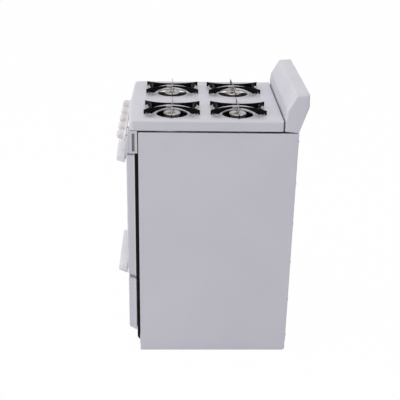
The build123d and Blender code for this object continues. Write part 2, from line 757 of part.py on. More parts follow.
# ---------------------------------------------------------------- valve stems and knobs
knob_back = 4.5
knob_front = 36.5
skirt_radius = 23.0
skirt_end = 9.0
shoulder_end = 14.0
grip_radius_rear = 17.0
grip_radius = 15.5
knob_bore_end = 28.0
pointer_width = 2.0
pointer_depth = 0.8
for index, place in enumerate(places):
    x = (index - 2) * knob_pitch
    with BuildPart() as stem:
        with BuildSketch(knob_plane(x, stem_inner)):
            Circle(stem_radius)
        extrude(amount=stem_outer - stem_inner)
        with BuildSketch(knob_plane(x, stem_flat_from)):
            with Locations((0, stem_flat + stem_radius)):
                Rectangle(4 * stem_radius, 2 * stem_radius)
        extrude(amount=stem_outer - stem_flat_from + 1, mode=Mode.SUBTRACT)
    save(stem, f"valve_stem_{place}")

    with BuildPart() as knob:
        side_plane = Plane(origin=knob_plane(x, 0).origin, x_dir=(1, 0, 0), z_dir=knob_plane(x, 0).y_dir * -1)
        with BuildSketch(side_plane):
            with BuildLine():
                Polyline(
                    (0, knob_back),
                    (skirt_radius, knob_back),
                    (skirt_radius, skirt_end),
                    (grip_radius_rear, shoulder_end),
                    (grip_radius, knob_front),
                    (0, knob_front),
                    close=True,
                )
            make_face()
        revolve(axis=Axis(side_plane.origin, outward))
        with BuildSketch(knob_plane(x, knob_back - 1)) as socket:
            Circle(stem_radius + pin_clearance)
            with Locations((0, stem_flat + pin_clearance + stem_radius)):
                Rectangle(4 * stem_radius, 2 * stem_radius, mode=Mode.SUBTRACT)
        extrude(amount=knob_bore_end - knob_back + 1, mode=Mode.SUBTRACT)
        with BuildSketch(knob_plane(x, knob_front - pointer_depth)):
            with Locations((0, grip_radius * 0.62)):
                Rectangle(pointer_width, grip_radius * 0.9)
        extrude(amount=2, mode=Mode.SUBTRACT)
    save(knob, f"knob_{place}")

# ---------------------------------------------------------------- grates
# Flat steel strips on edge: two long ones bowed towards each other, two short ones and a thin blade across.
grate_half_length = 96.0
grate_tip = 60.0
grate_waist = 17.0
grate_strip = 3.0
grate_cross = 87.0
grate_cross_bow = 77.0
grate_cross_end = 52.0
blade_half = 98.0
blade_thickness = 2.2
grate_foot = cooktop_height + running_gap
grate_tip_height = cooktop_height + 18.0
grate_crown = cooktop_height + 20.5
grate_notch = cooktop_height + 7.0
grate_leg = cooktop_height + 2.0
grate_arch = cooktop_height + 13.5
foot_length = 6.0
notch_length = 7.0
leg_length = 15.0
notch_slant = 2.0
blade_foot = 5.0
blade_arch = blade_half - blade_foot - 2 * notch_slant
for row, depth in burner_depths.items():
    for hand, x in burner_sides.items():
        with BuildPart() as grate:
            for side in (-1, 1):
                long_strip = (
                    (side * grate_tip, -grate_half_length),
                    (side * grate_waist, 0),
                    (side * grate_tip, grate_half_length),
                )
                short_strip = (
                    (-grate_cross_end, side * grate_cross),
                    (0, side * grate_cross_bow),
                    (grate_cross_end, side * grate_cross),
                )
                for start, middle, end in (long_strip, short_strip):
                    with BuildSketch(Plane(origin=(x, at(depth), grate_foot - 1))):
                        with BuildLine():
                            ThreePointArc(start, middle, end)
                        trace(line_width=grate_strip)
                    extrude(amount=grate_crown - grate_foot + 2)
            y = at(depth)
            end = grate_half_length + grate_strip
            foot_end = grate_half_length - foot_length
            with BuildSketch(Plane.YZ.offset(x - blade_half)):
                with BuildLine():
                    for turn in (-1, 1):
                        Polyline(
                            (y + turn * end, grate_tip_height),
                            (y + turn * end, grate_foot),
                            (y + turn * foot_end, grate_foot),
                            (y + turn * (foot_end - notch_slant), grate_notch),
                            (y + turn * (foot_end - notch_length), grate_notch),
                            (y + turn * (foot_end - notch_length - notch_slant), grate_leg),
                            (y + turn * (foot_end - leg_length), grate_leg),
                        )
                    inner_foot = foot_end - leg_length
                    ThreePointArc((y - inner_foot, grate_leg), (y, grate_arch), (y + inner_foot, grate_leg))
                    ThreePointArc(
                        (y + end, grate_tip_height),
                        (y, grate_crown),
                        (y - end, grate_tip_height),
                    )
                make_face()
            extrude(amount=2 * blade_half, mode=Mode.INTERSECT)
            with BuildSketch(Plane.XZ.offset(-y + blade_thickness / 2)):
                with BuildLine():
                    for turn in (-1, 1):
                        Polyline(
                            (x + turn * blade_half, grate_tip_height),
                            (x + turn * blade_half, grate_foot),
                            (x + turn * (blade_half - blade_foot), grate_foot),
                            (x + turn * blade_arch, grate_notch),
                        )
                    ThreePointArc(
                        (x - blade_arch, grate_notch),
                        (x, grate_arch),
                        (x + blade_arch, grate_notch),
                    )
                    ThreePointArc(
                        (x + blade_half, grate_tip_height),
                        (x, grate_crown),
                        (x - blade_half, grate_tip_height),
                    )
                make_face()
            extrude(amount=-blade_thickness)
        save(grate, f"grate_{row}_{hand}")

# ---------------------------------------------------------------- backguard
guard_low = 877.0
guard_top = 1008.0
guard_cove = (0.8, 60.0)       # a hollow bend above the upright foot: behind and above the foot's corner
guard_cove_low = 44.0
guard_face = (3.0, 75.0)       # where the leaning face starts, behind and above the foot's corner
guard_face_high = (28.0, 12.0) # where it ends, behind the foot and below the top
guard_nose = (34.0, 5.5)       # the round top edge
guard_crest = (44.0, 2.0)
guard_back_drop = 45.0
guard_front = cooktop_depth + backguard_seam
guard_rear = body_rear + backguard_overhang
guard_seat = (11.0, 34.0)   # the feet that stand on the side panels
with BuildPart() as backguard:
    for inset, low, x_half, mode in (
        (0, 0, half_width, Mode.ADD),
        (sheet, 8, inner_half, Mode.SUBTRACT),
    ):
        with BuildSketch(Plane.YZ.offset(-x_half)) as profile:
            with BuildLine():
                front = at(guard_front)
                cove = (front, guard_low + guard_cove_low)
                bend = (front + guard_cove[0], guard_low + guard_cove[1])
                face = (front + guard_face[0], guard_low + guard_face[1])
                face_high = (front + guard_face_high[0], guard_top - guard_face_high[1])
                nose = (front + guard_nose[0], guard_top - guard_nose[1])
                crest = (front + guard_crest[0], guard_top - guard_crest[1])
                Line((front, guard_low - low), cove)
                ThreePointArc(cove, bend, face)
                Line(face, face_high)
                ThreePointArc(face_high, nose, crest)
                Polyline(
                    crest,
                    (at(guard_rear - 2), guard_top),
                    (at(guard_rear), guard_top - guard_back_drop),
                    (at(body_rear), side_top + 2 - low),
                    (front, guard_low - low),
                )
            make_face()
            if inset:
                offset(amount=-inset, kind=Kind.INTERSECTION, mode=Mode.REPLACE)
        extrude(amount=2 * x_half, mode=mode)
    for side in (-1, 1):
        inner, outer = sorted((side * (inner_half - guard_seat[0]), side * (inner_half + sheet / 2)))
        block(inner, outer, guard_front + 8, guard_front + 8 + guard_seat[1], side_top, side_top + sheet)
        inner, outer = sorted((side * inner_half, side * half_width))
        block(inner, outer, guard_front + 8, guard_front + 8 + guard_seat[1], side_top, guard_low + 3)
    with BuildSketch(Plane.XZ.offset(-at(guard_rear + 5))):
        with Locations((0, guard_top - 28)):
            with GridLocations(1, 9, 1, 3):
                with GridLocations(84, 1, 5, 1):
                    SlotOverall(60, 4)
    extrude(amount=16, mode=Mode.SUBTRACT)
save(backguard, "backguard")

# ---------------------------------------------------------------- door
door_half = half_width - 4.0
door_front = -11.0
door_rear = 18.0
door_top = 787.0
door_low_rear = door_hinge_height - 6.5
door_low_front = door_low_rear + 9.5
door_notch = (lug_inner - 7.0, lug_outer + 5.0)
hem = 1.5
hem_width = 4.0
door_outline = (
    (door_front, door_low_front),
    (door_rear, door_low_rear),
    (door_rear, door_top),
    (door_front, door_top),
)
door_fall = (door_low_front - door_low_rear) / (door_rear - door_front)


def door_bottom(depth, above=0.0):
    """A point on the door's slanting bottom at this depth, raised by a sheet or more."""
    return (depth, door_low_front - door_fall * (depth - door_front) + above)


with BuildPart() as door_outer:
    side_profile(door_outline, -door_half, door_half)
    hem_outline = (
        door_bottom(door_rear - hem_width),
        door_bottom(door_rear),
        (door_rear, door_top),
        (door_rear - hem_width, door_top),
    )
    side_profile(hem_outline, -door_half - hem, door_half + hem)
    front_edges = door_outer.edges().group_by(Axis.Y)[0]
    fillet(front_edges, 4)
    hollow = (
        door_bottom(door_front + sheet, sheet),
        door_bottom(door_rear + 1, sheet),
        (door_rear + 1, door_top - sheet),
        (door_front + sheet, door_top - sheet),
    )
    side_profile(hollow, -door_half + sheet, door_half - sheet, mode=Mode.SUBTRACT)
    for side in (-1, 1):
        inner, outer = sorted((side * door_notch[0], side * door_notch[1]))
        block(inner, outer, door_hinge_depth - 8, door_rear + 3, door_low_rear - 8, door_hinge_height + 10,
              mode=Mode.SUBTRACT)
save(door_outer, "door_outer_panel")

plug_half = half_width - 59.0
plug_low = oven_low + 12.0
plug_high = 758.0
plug_rear = 33.0
with BuildPart() as door_inner:
    edge = door_half - sheet
    flange = (
        door_bottom(door_rear - sheet, sheet),
        door_bottom(door_rear, sheet),
        (door_rear, door_top - sheet),
        (door_rear - sheet, door_top - sheet),
    )
    side_profile(flange, -edge, edge)
    block(-plug_half, plug_half, door_rear - sheet, plug_rear, plug_low, plug_high)
    back_edges = door_inner.edges().group_by(Axis.Y)[-1]
    fillet(back_edges, 2.5)
    block(-plug_half + sheet, plug_half - sheet, door_rear - sheet - 1, plug_rear - sheet, plug_low + sheet,
          plug_high - sheet, mode=Mode.SUBTRACT)
    for side in (-1, 1):
        inner, outer = sorted((side * door_notch[0], side * door_notch[1]))
        block(inner, outer, door_hinge_depth - 8, door_rear + 3, door_low_rear - 8, door_hinge_height + 10,
              mode=Mode.SUBTRACT)
save(door_inner, "door_inner_panel")

with BuildPart() as door_insulation:
    block(
        -plug_half - 12,
        plug_half + 12,
        door_front + sheet,
        door_rear - sheet,
        plug_low - 10,
        plug_high + 14,
    )
    block(-plug_half + sheet, plug_half - sheet, door_rear - 2 * sheet, plug_rear - sheet, plug_low + 8,
          plug_high - 8)
save(door_insulation, "door_insulation")

gasket_inner = 5.0
gasket_width = 8.0
gasket_thickness = frame_front - door_rear - running_gap
with BuildPart() as door_gasket:
    with BuildSketch(Plane.XZ.offset(-at(door_rear))):
        for grow, mode in ((gasket_inner + gasket_width, Mode.ADD), (gasket_inner, Mode.SUBTRACT)):
            low = oven_low + 2 - grow
            high = oven_high + grow
            with Locations((0, (low + high) / 2)):
                RectangleRounded(2 * (oven_half + grow), high - low, grow + 4, mode=mode)
    extrude(amount=-gasket_thickness)
save(door_gasket, "door_gasket")

strap_high = door_hinge_height + 156.0
strap_front = -5.5
strap_rear = 12.0
with BuildPart() as door_arms:
    for side in (-1, 1):
        inner, outer = sorted((side * strap_inner, side * strap_outer))
        block(inner, outer, strap_front, strap_rear, door_hinge_height, strap_high)
        rod((inner, door_hinge_depth, door_hinge_height), (outer, door_hinge_depth, door_hinge_height),
            -strap_front)
        foot_in, foot_out = sorted((side * (strap_inner - 1), side * (strap_outer + 1)))
        rod((foot_in, door_hinge_depth, door_hinge_height), (foot_out, door_hinge_depth, door_hinge_height),
            door_pin_radius + pin_clearance, mode=Mode.SUBTRACT)
        tab_in, tab_out = sorted((side * strap_inner, side * (strap_outer + 8)))
        block(tab_in, tab_out, strap_rear, door_rear - sheet, strap_high - 60, strap_high)
        block(tab_in, tab_out, strap_rear, door_rear - sheet, door_hinge_height + 16, door_hinge_height + 46)
save(door_arms, "door_hinge_arms")

# ---------------------------------------------------------------- handles
handle_half = 167.5
handle_corner = 6.0
spacer_x = 130.0
spacer_half = 7.0
door_handle_front = -50.0
drawer_handle_front = -52.0
drawer_face = -10.0
door_bow = handle_reach + door_handle_front
handles = (
    ("door_handle", 753.0, door_handle_front, door_bow, -21.0, 17.0, 26.0, door_front),
    ("drawer_handle", 306.0, drawer_handle_front, 0.0, -19.0, 7.0, 21.0, drawer_face),
)
for name, top, front, bow, back, nose, height, face in handles:
    with BuildPart() as handle:
        with BuildSketch(Plane.XY.offset(top - height)) as plan:
            with BuildLine():
                if bow:
                    ThreePointArc((-handle_half, at(front)), (0, at(front - bow)), (handle_half, at(front)))
                else:
                    Line((-handle_half, at(front)), (handle_half, at(front)))
                Polyline(
                    (handle_half, at(front)),
                    (handle_half, at(back)),
                    (-handle_half, at(back)),
                    (-handle_half, at(front)),
                )
            make_face()
            fillet(plan.vertices().group_by(Axis.Y)[0], handle_corner)
        extrude(amount=height)
        side_profile(
            (
                (front - 10, top - nose + 2),
                (front, top - nose),
                (back - 2, top - height),
                (back - 2, top - height - 5),
                (front - 10, top - height - 5),
            ),
            -handle_half - 1,
            handle_half + 1,
            mode=Mode.SUBTRACT,
        )
        for x in (-spacer_x, spacer_x):
            block(x - spacer_half, x + spacer_half, back - 1, face, top - height + 4, top - 3)
    save(handle, name)

# ---------------------------------------------------------------- drawer
drawer_rear = 18.0
drawer_top_rear = door_low_rear - 11.5
drawer_top_front = door_low_front - 14.0
drawer_low_front = 103.0
drawer_low_rear = 88.0
with BuildPart() as drawer_front:
    side_profile(
        (
            (drawer_face, drawer_low_front),
            (drawer_rear, drawer_low_rear),
            (drawer_rear, drawer_top_rear),
            (drawer_face, drawer_top_front),
        ),
        -door_half,
        door_half,
    )
    fillet(drawer_front.edges().group_by(Axis.Y)[0], 4)
    side_profile(
        (
            (drawer_face + sheet, drawer_low_front + sheet),
            (drawer_rear - sheet, drawer_low_rear + 2 * sheet),
            (drawer_rear - sheet, drawer_top_rear - sheet),
            (drawer_face + sheet, drawer_top_front - 1.5 * sheet),
        ),
        -door_half + sheet,
        door_half - sheet,
        mode=Mode.SUBTRACT,
    )
    block(-door_half + 14, door_half - 14, drawer_rear - 3, drawer_rear + 1, drawer_low_rear + 18,
          drawer_top_rear - 14, mode=Mode.SUBTRACT)
save(drawer_front, "drawer_front")

box_half = half_width - 54.0
box_rear = oven_back - 51.0
box_flange = 13.5
box_top = guide_rail_height + running_gap + sheet
with BuildPart() as drawer_box:
    block(-box_half, box_half, drawer_rear, box_rear, drawer_low, box_top)
    block(-box_half + sheet, box_half - sheet, drawer_rear + sheet, box_rear - sheet, drawer_low + sheet,
          box_top + 1, mode=Mode.SUBTRACT)
    for side in (-1, 1):
        inner, outer = sorted((side * (box_half - 0.5), side * (box_half + box_flange)))
        block(inner, outer, front_flange_back + 4, box_rear, box_top - sheet, box_top)
    block(-door_half + 10, door_half - 10, drawer_rear, drawer_rear + sheet, drawer_low_rear + 14,
          drawer_top_rear - 10)
save(drawer_box, "drawer_box")

pan_half = half_width - 89.0
pan_front = 62.0
pan_rear = oven_back - 66.0
pan_low = drawer_low + sheet + running_gap
pan_high = pan_low + 34.0
pan_rim = 7.0
with BuildPart() as broiler_pan:
    block(-pan_half, pan_half, pan_front, pan_rear, pan_low, pan_high)
    fillet(broiler_pan.edges().group_by(Axis.Z)[0], 3)
    block(-pan_half - pan_rim, pan_half + pan_rim, pan_front - pan_rim, pan_rear + pan_rim, pan_high - sheet,
          pan_high)
    block(-pan_half + sheet, pan_half - sheet, pan_front + sheet, pan_rear - sheet, pan_low + 2, pan_high + 1,
          mode=Mode.SUBTRACT)
save(broiler_pan, "broiler_pan")

grid_low = pan_high + running_gap
with BuildPart() as broiler_grid:
    block(-pan_half - 4, pan_half + 4, pan_front - 4, pan_rear + 4, grid_low, grid_low + 3)
    with BuildSketch(Plane.XY.offset(grid_low)):
        with Locations((0, at((pan_front + pan_rear) / 2))):
            with GridLocations(26, 118, 12, 3):
                SlotOverall(96, 6, rotation=90)
    extrude(amount=3, mode=Mode.SUBTRACT)
save(broiler_grid, "broiler_grid")
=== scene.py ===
import math

import bmesh
import bpy
import numpy as np
from mathutils import Matrix, Vector


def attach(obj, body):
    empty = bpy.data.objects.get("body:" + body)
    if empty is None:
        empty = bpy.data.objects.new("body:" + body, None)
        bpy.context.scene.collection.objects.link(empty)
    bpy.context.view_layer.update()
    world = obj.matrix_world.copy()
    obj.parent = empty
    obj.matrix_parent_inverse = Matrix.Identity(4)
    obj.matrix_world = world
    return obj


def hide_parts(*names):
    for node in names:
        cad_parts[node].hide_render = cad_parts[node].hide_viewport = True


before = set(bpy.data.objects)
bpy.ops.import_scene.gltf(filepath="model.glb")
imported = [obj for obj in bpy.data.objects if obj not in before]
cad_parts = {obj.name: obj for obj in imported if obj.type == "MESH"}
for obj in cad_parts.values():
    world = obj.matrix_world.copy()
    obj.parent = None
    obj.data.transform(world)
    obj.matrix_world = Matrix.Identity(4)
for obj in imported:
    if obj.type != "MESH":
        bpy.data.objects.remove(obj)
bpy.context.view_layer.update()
scene = bpy.context.scene

# Base pan and levelling feet.
# The pan is zinc-coated sheet folded down all round; the feet are black moulded hexagons
# on steel studs that screw up through its bosses.


def node_tree(name):
    """An empty procedural material called name, as (material, nodes, links, principled shader)."""
    material = bpy.data.materials.new(name)
    material.use_nodes = True
    nodes = material.node_tree.nodes
    nodes.clear()
    output = nodes.new("ShaderNodeOutputMaterial")
    shader = nodes.new("ShaderNodeBsdfPrincipled")
    material.node_tree.links.new(shader.outputs["BSDF"], output.inputs["Surface"])
    return material, nodes, material.node_tree.links, shader


def surface_group(name, sockets, build):
    """A node group fed with Object coordinates, with these inputs and Color, Roughness and Height out."""
    group = bpy.data.node_groups.new(name, "ShaderNodeTree")
    for title, kind, value in sockets:
        socket = group.interface.new_socket(name=title, in_out="INPUT", socket_type=f"NodeSocket{kind}")
        socket.default_value = value
    for title, kind in (("Color", "Color"), ("Roughness", "Float"), ("Height", "Float")):
        group.interface.new_socket(name=title, in_out="OUTPUT", socket_type=f"NodeSocket{kind}")
    inward = group.nodes.new("NodeGroupInput")
    outward = group.nodes.new("NodeGroupOutput")
    place = group.nodes.new("ShaderNodeTexCoord").outputs["Object"]
    build(group.nodes, group.links, place, inward.outputs, outward.inputs)
    return group


def noise(nodes, links, place, scale, detail=3.0, stretch=None):
    """Value noise at scale per metre, stretched by three factors when they are given."""
    source = place
    if stretch:
        mapping = nodes.new("ShaderNodeMapping")
        mapping.inputs["Scale"].default_value = stretch
        links.new(place, mapping.inputs["Vector"])
        source = mapping.outputs["Vector"]
    texture = nodes.new("ShaderNodeTexNoise")
    texture.inputs["Scale"].default_value = scale
    texture.inputs["Detail"].default_value = detail
    links.new(source, texture.inputs["Vector"])
    return texture.outputs["Fac"]


def remap(nodes, links, value, low, high, to_low, to_high):
    """value moved linearly from low..high to to_low..to_high, held at both ends."""
    node = nodes.new("ShaderNodeMapRange")
    for title, number in (("From Min", low), ("From Max", high), ("To Min", to_low), ("To Max", to_high)):
        node.inputs[title].default_value = number
    links.new(value, node.inputs["Value"])
    return node.outputs["Result"]


def blend_colour(nodes, links, factor, one, other, mode="MIX"):
    """one blended with other by factor; each is a socket or a colour."""
    node = nodes.new("ShaderNodeMix")
    node.data_type = "RGBA"
    node.blend_type = mode
    for value, socket in ((factor, node.inputs[0]), (one, node.inputs[6]), (other, node.inputs[7])):
        if isinstance(value, bpy.types.NodeSocket):
            links.new(value, socket)
        elif isinstance(value, float):
            socket.default_value = value
        else:
            socket.default_value = (*value, 1.0)
    return node.outputs[2]


def combine(nodes, links, operation, one, other):
    """Maths on two sockets or numbers."""
    node = nodes.new("ShaderNodeMath")
    node.operation = operation
    for value, socket in ((one, node.inputs[0]), (other, node.inputs[1])):
        if isinstance(value, bpy.types.NodeSocket):
            links.new(value, socket)
        else:
            socket.default_value = value
    return node.outputs[0]


def finish_with(name, group, values, bump, distance, **sockets):
    """A material: colour, roughness and bump come from a group, the other sockets are plain values."""
    material, nodes, links, shader = node_tree(name)
    node = nodes.new("ShaderNodeGroup")
    node.node_tree = group
    for title, value in values.items():
        node.inputs[title].default_value = (*value, 1.0) if isinstance(value, tuple) else value
    links.new(node.outputs["Color"], shader.inputs["Base Color"])
    links.new(node.outputs["Roughness"], shader.inputs["Roughness"])
    relief = nodes.new("ShaderNodeBump")
    relief.inputs["Strength"].default_value = bump
    relief.inputs["Distance"].default_value = distance
    links.new(node.outputs["Height"], relief.inputs["Height"])
    links.new(relief.outputs["Normal"], shader.inputs["Normal"])
    for title, value in sockets.items():
        shader.inputs[title.replace("_", " ")].default_value = value
    return material


def zinc(nodes, links, place, given, result):
    """Zinc spangle: cells of slightly different grey with a soft grain, and dull patches."""
    cells = nodes.new("ShaderNodeTexVoronoi")
    cells.inputs["Scale"].default_value = 90.0
    links.new(place, cells.inputs["Vector"])
    tone = nodes.new("ShaderNodeSeparateColor")
    links.new(cells.outputs["Color"], tone.inputs["Color"])
    patch = remap(nodes, links, noise(nodes, links, place, 14.0), 0.35, 0.65, 0.0, 1.0)
    spangle = remap(nodes, links, tone.outputs["Red"], 0.0, 1.0, 0.82, 1.06)
    grey = blend_colour(nodes, links, 1.0, given["Tint"], spangle, "MULTIPLY")
    share = combine(nodes, links, "MULTIPLY", patch, 0.25)
    links.new(blend_colour(nodes, links, share, grey, (0.35, 0.35, 0.34)), result["Color"])
    links.new(remap(nodes, links, tone.outputs["Green"], 0.0, 1.0, 0.34, 0.52), result["Roughness"])
    links.new(noise(nodes, links, place, 900.0), result["Height"])


def moulded(nodes, links, place, given, result):
    """Moulded plastic: fine spark-eroded grain, faint flow shading and a few rubbed places."""
    flow = remap(nodes, links, noise(nodes, links, place, 22.0), 0.3, 0.7, 0.93, 1.05)
    grain = noise(nodes, links, place, 2600.0, 2.0)
    rubbed = remap(nodes, links, noise(nodes, links, place, 60.0, 5.0), 0.45, 0.75, 0.0, 0.12)
    shade = blend_colour(nodes, links, 1.0, given["Tint"], flow, "MULTIPLY")
    links.new(shade, result["Color"])
    links.new(combine(nodes, links, "ADD", given["Gloss"], rubbed), result["Roughness"])
    links.new(grain, result["Height"])


tint = ("Tint", "Color", (0.5, 0.5, 0.5, 1.0))
gloss = ("Gloss", "Float", 0.4)
zinc_group = surface_group("zinc_spangle", [tint], zinc)
moulded_group = surface_group("moulded_plastic", [tint, gloss], moulded)

zinc_look = {"Tint": (0.52, 0.53, 0.54)}
galvanised = finish_with("galvanised_sheet", zinc_group, zinc_look, 0.15, 0.0004, Metallic=0.85)
foot_plastic = finish_with(
    "foot_plastic", moulded_group, {"Tint": (0.03, 0.03, 0.032), "Gloss": 0.5}, 0.3, 0.0003, IOR=1.46
)


def dress(material, slot, *names):
    """Give CAD nodes a finish; the slot argument is not used."""
    for name in names:
        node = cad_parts[name]
        node.data.materials.clear()
        node.data.materials.append(material)


corners = [f"{row}_{hand}" for row in ("front", "rear") for hand in ("left", "right")]
dress(galvanised, "galvanised_steel", "base_pan")
dress(foot_plastic, "black_plastic", *[f"foot_{corner}" for corner in corners])

# Side panels.
# Pans pressed from steel sheet, enamelled white, with a rolled front edge and a flange turned in
# all round; they hook over the frame and screw on at the back.

MM = 0.001
FRONT_EDGE = -0.2775  # where depth 0, the cooktop's front edge, lies along Y


def round_corners(points, radii, steps=5):
    """Replace each corner of a 2-D outline by an arc: centre at radius over tan(half turn) along both sides.

    A radius of zero keeps the corner. Points close to both ends of each arc hold the flats flat.
    """
    points = np.asarray(points, float)
    rounded = []
    for here, before, after, radius in zip(points, np.roll(points, 1, 0), np.roll(points, -1, 0), radii):
        if radius == 0:
            rounded.append(here)
            continue
        back = (before - here) / np.linalg.norm(before - here)
        onward = (after - here) / np.linalg.norm(after - here)
        half = math.acos(np.clip(back @ onward, -1, 1)) / 2
        reach = radius / math.tan(half)
        centre = here + (back + onward) / np.linalg.norm(back + onward) * radius / math.sin(half)
        start = here + back * reach - centre
        end = here + onward * reach - centre
        sweep = math.pi - 2 * half
        turn = np.sign(start[0] * end[1] - start[1] * end[0]) or 1.0
        angles = np.linspace(0, sweep, steps + 1) * turn
        cosine, sine = np.cos(angles), np.sin(angles)
        arc = np.stack([start[0] * cosine - start[1] * sine, start[0] * sine + start[1] * cosine], 1)
        rounded.extend(centre + arc)
    return np.array(rounded)


def inset_loop(loop, amount):
    """Move each point of a closed 2-D loop towards its inside, along the mean of its two side normals."""
    along = np.roll(loop, -1, 0) - loop
    area = np.sum(loop[:, 0] * np.roll(loop[:, 1], -1) - np.roll(loop[:, 0], -1) * loop[:, 1])
    normal = np.stack([-along[:, 1], along[:, 0]], 1) * np.sign(area)
    length = np.maximum(np.linalg.norm(normal, axis=1, keepdims=True), 1e-9)
    normal = normal / length
    before = np.roll(normal, 1, 0)
    mean = (normal + before) / (1 + np.sum(normal * before, 1, keepdims=True))
    return loop + mean * amount


def ring_quads(count, size, closed=True):
    """Four-cornered faces between count rings of size points; closed joins each ring's ends too."""
    here = np.arange(size if closed else size - 1)
    there = (here + 1) % size
    lift = np.arange(count - 1)[:, None] * size
    return np.stack([here + lift, there + lift, there + lift + size, here + lift + size], 2).reshape(-1, 4)


def lay(name, rings, body, material, slot, replaced=(), closed=True, caps=(True, True), sharp=38.0):
    """A surface through rings of millimetre points: point (u, v) is rings[v][u], with x, depth and height.

    Rings join edge to edge; closed wraps each one round, and caps fill the first and last.
    """
    rings = np.asarray(rings, float)
    count, size = rings.shape[:2]
    metres = rings.reshape(-1, 3) * MM + (0, FRONT_EDGE, 0)
    faces = ring_quads(count, size, closed).tolist()
    if closed and caps[0]:
        faces.append(list(range(size - 1, -1, -1)))
    if closed and caps[1]:
        faces.append(list(range((count - 1) * size, count * size)))
    mesh = bpy.data.meshes.new(name)
    mesh.from_pydata(metres.tolist(), [], faces)
    return settle(name, mesh, body, material, replaced, sharp)


def settle(name, mesh, body, material, replaced=(), sharp=38.0):
    """Make the mesh an object: smooth outward faces, a finish, the body it rides, the node it replaces."""
    work = bmesh.new()
    work.from_mesh(mesh)
    bmesh.ops.remove_doubles(work, verts=work.verts, dist=1e-6)
    bmesh.ops.recalc_face_normals(work, faces=work.faces)
    for face in work.faces:
        face.smooth = len(face.verts) == 4
    for edge in work.edges:
        if len(edge.link_faces) == 2 and edge.calc_face_angle(0) > math.radians(sharp):
            edge.smooth = False
    work.to_mesh(mesh)
    work.free()
    mesh.materials.append(material)
    piece = bpy.data.objects.new(name, mesh)
    scene.collection.objects.link(piece)
    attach(piece, body)
    if replaced:
        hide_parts(*replaced)
    return piece


def thicken(piece, millimetres):
    """Give a sheet its thickness, on the inside."""
    wall = piece.modifiers.new("sheet", "SOLIDIFY")
    wall.thickness = millimetres * MM
    wall.offset = -1.0
    return piece


def spread(loop, axis, value):
    """Set a 2-D loop in space with value as the number on one axis: axis 0 gives (value, a, b)."""
    return np.insert(loop, axis, value, axis=1)


def enamel(nodes, links, place, given, result):
    """Vitreous enamel: an orange-peel skin, slow changes of tone and faint dust."""
    tone = remap(nodes, links, noise(nodes, links, place, 3.5, 4.0), 0.3, 0.7, 0.975, 1.02)
    wash = blend_colour(nodes, links, 1.0, given["Tint"], tone, "MULTIPLY")
    dust = remap(nodes, links, noise(nodes, links, place, 240.0, 6.0), 0.62, 0.8, 0.0, 1.0)
    share = combine(nodes, links, "MULTIPLY", dust, given["Specks"])
    links.new(blend_colour(nodes, links, share, wash, given["Speck tint"]), result["Color"])
    haze = remap(nodes, links, noise(nodes, links, place, 9.0, 5.0), 0.4, 0.7, 0.0, 0.1)
    links.new(combine(nodes, links, "ADD", given["Gloss"], haze), result["Roughness"])
    links.new(noise(nodes, links, place, 420.0, 2.0), result["Height"])


speck_tint = ("Speck tint", "Color", (0.4, 0.4, 0.4, 1.0))
specks = ("Specks", "Float", 0.1)
enamel_group = surface_group("vitreous_enamel", [tint, speck_tint, specks, gloss], enamel)


def enamelled(name, colour, speck, share, shine, bump, distance, ior):
    """Vitreous enamel of one colour with a share of specks in another."""
    values = {"Tint": colour, "Speck tint": speck, "Specks": share, "Gloss": shine}
    return finish_with(name, enamel_group, values, bump, distance, IOR=ior)


white_enamel = enamelled("white_enamel", (0.6, 0.584, 0.648), (0.5, 0.49, 0.5), 0.06, 0.34, 0.08, 0.0004, 1.5)

SIDE_FRONT, BODY_REAR, SIDE_LOW, SIDE_TOP = 30.5, 578.0, 1.0, 870.0
HALF_WIDTH = 254.0
SHEET, FLANGE, FOLD = 1.2, 14.0, 1.7
HANDS = (("left", -1), ("right", 1))
SHELL = ("chassis", white_enamel, "white_enamel")  # body, material and slot of the fixed white sheets
for hand, side in HANDS:
    outline = round_corners(
        [(SIDE_FRONT, SIDE_LOW), (BODY_REAR, SIDE_LOW), (BODY_REAR, SIDE_TOP), (SIDE_FRONT, SIDE_TOP)],
        (3.0, 10.0, 3.0, 3.0),
    )
    roll = [(0.0, FLANGE), (0.0, 1.9)]
    roll += [(FOLD * (1 - math.cos(a)), FOLD * (1 - math.sin(a))) for a in np.linspace(0, math.pi / 2, 6)]
    roll += [(2.4, 0.0)]
    rings = [spread(inset_loop(outline, inset), 0, side * (HALF_WIDTH - drop)) for inset, drop in roll]
    panel = lay(f"side_skin_{hand}", rings, *SHELL, [f"side_panel_{hand}"], caps=(False, True))
    thicken(panel, SHEET)

# Front frame and back.
# The frame behind the door and drawer is black enamelled steel; the back is one zinc-coated sheet
# with vent slots, held by plated pan-head screws.
coal_black = (0.005, 0.0045, 0.0045)
black_enamel = enamelled("black_enamel", coal_black, (0.04, 0.035, 0.03), 0.2, 0.3, 0.1, 0.0004, 1.2)


def drawn_metal(nodes, links, place, given, result):
    """Drawn or turned metal: fine lines along one axis, a smoky heat stain and tool-mark relief."""
    lines = noise(nodes, links, place, 120.0, 4.0, (1.0, 14.0, 14.0))
    stain = remap(nodes, links, noise(nodes, links, place, 18.0, 5.0), 0.45, 0.75, 0.0, 1.0)
    tone = remap(nodes, links, lines, 0.3, 0.7, 0.86, 1.08)
    metal = blend_colour(nodes, links, 1.0, given["Tint"], tone, "MULTIPLY")
    share = combine(nodes, links, "MULTIPLY", stain, given["Stain"])
    links.new(blend_colour(nodes, links, share, metal, (0.16, 0.11, 0.08)), result["Color"])
    scratch = remap(nodes, links, lines, 0.2, 0.8, 0.0, 0.14)
    links.new(combine(nodes, links, "ADD", given["Gloss"], scratch), result["Roughness"])
    links.new(lines, result["Height"])


metal_group = surface_group("drawn_metal", [tint, ("Stain", "Float", 0.0), gloss], drawn_metal)


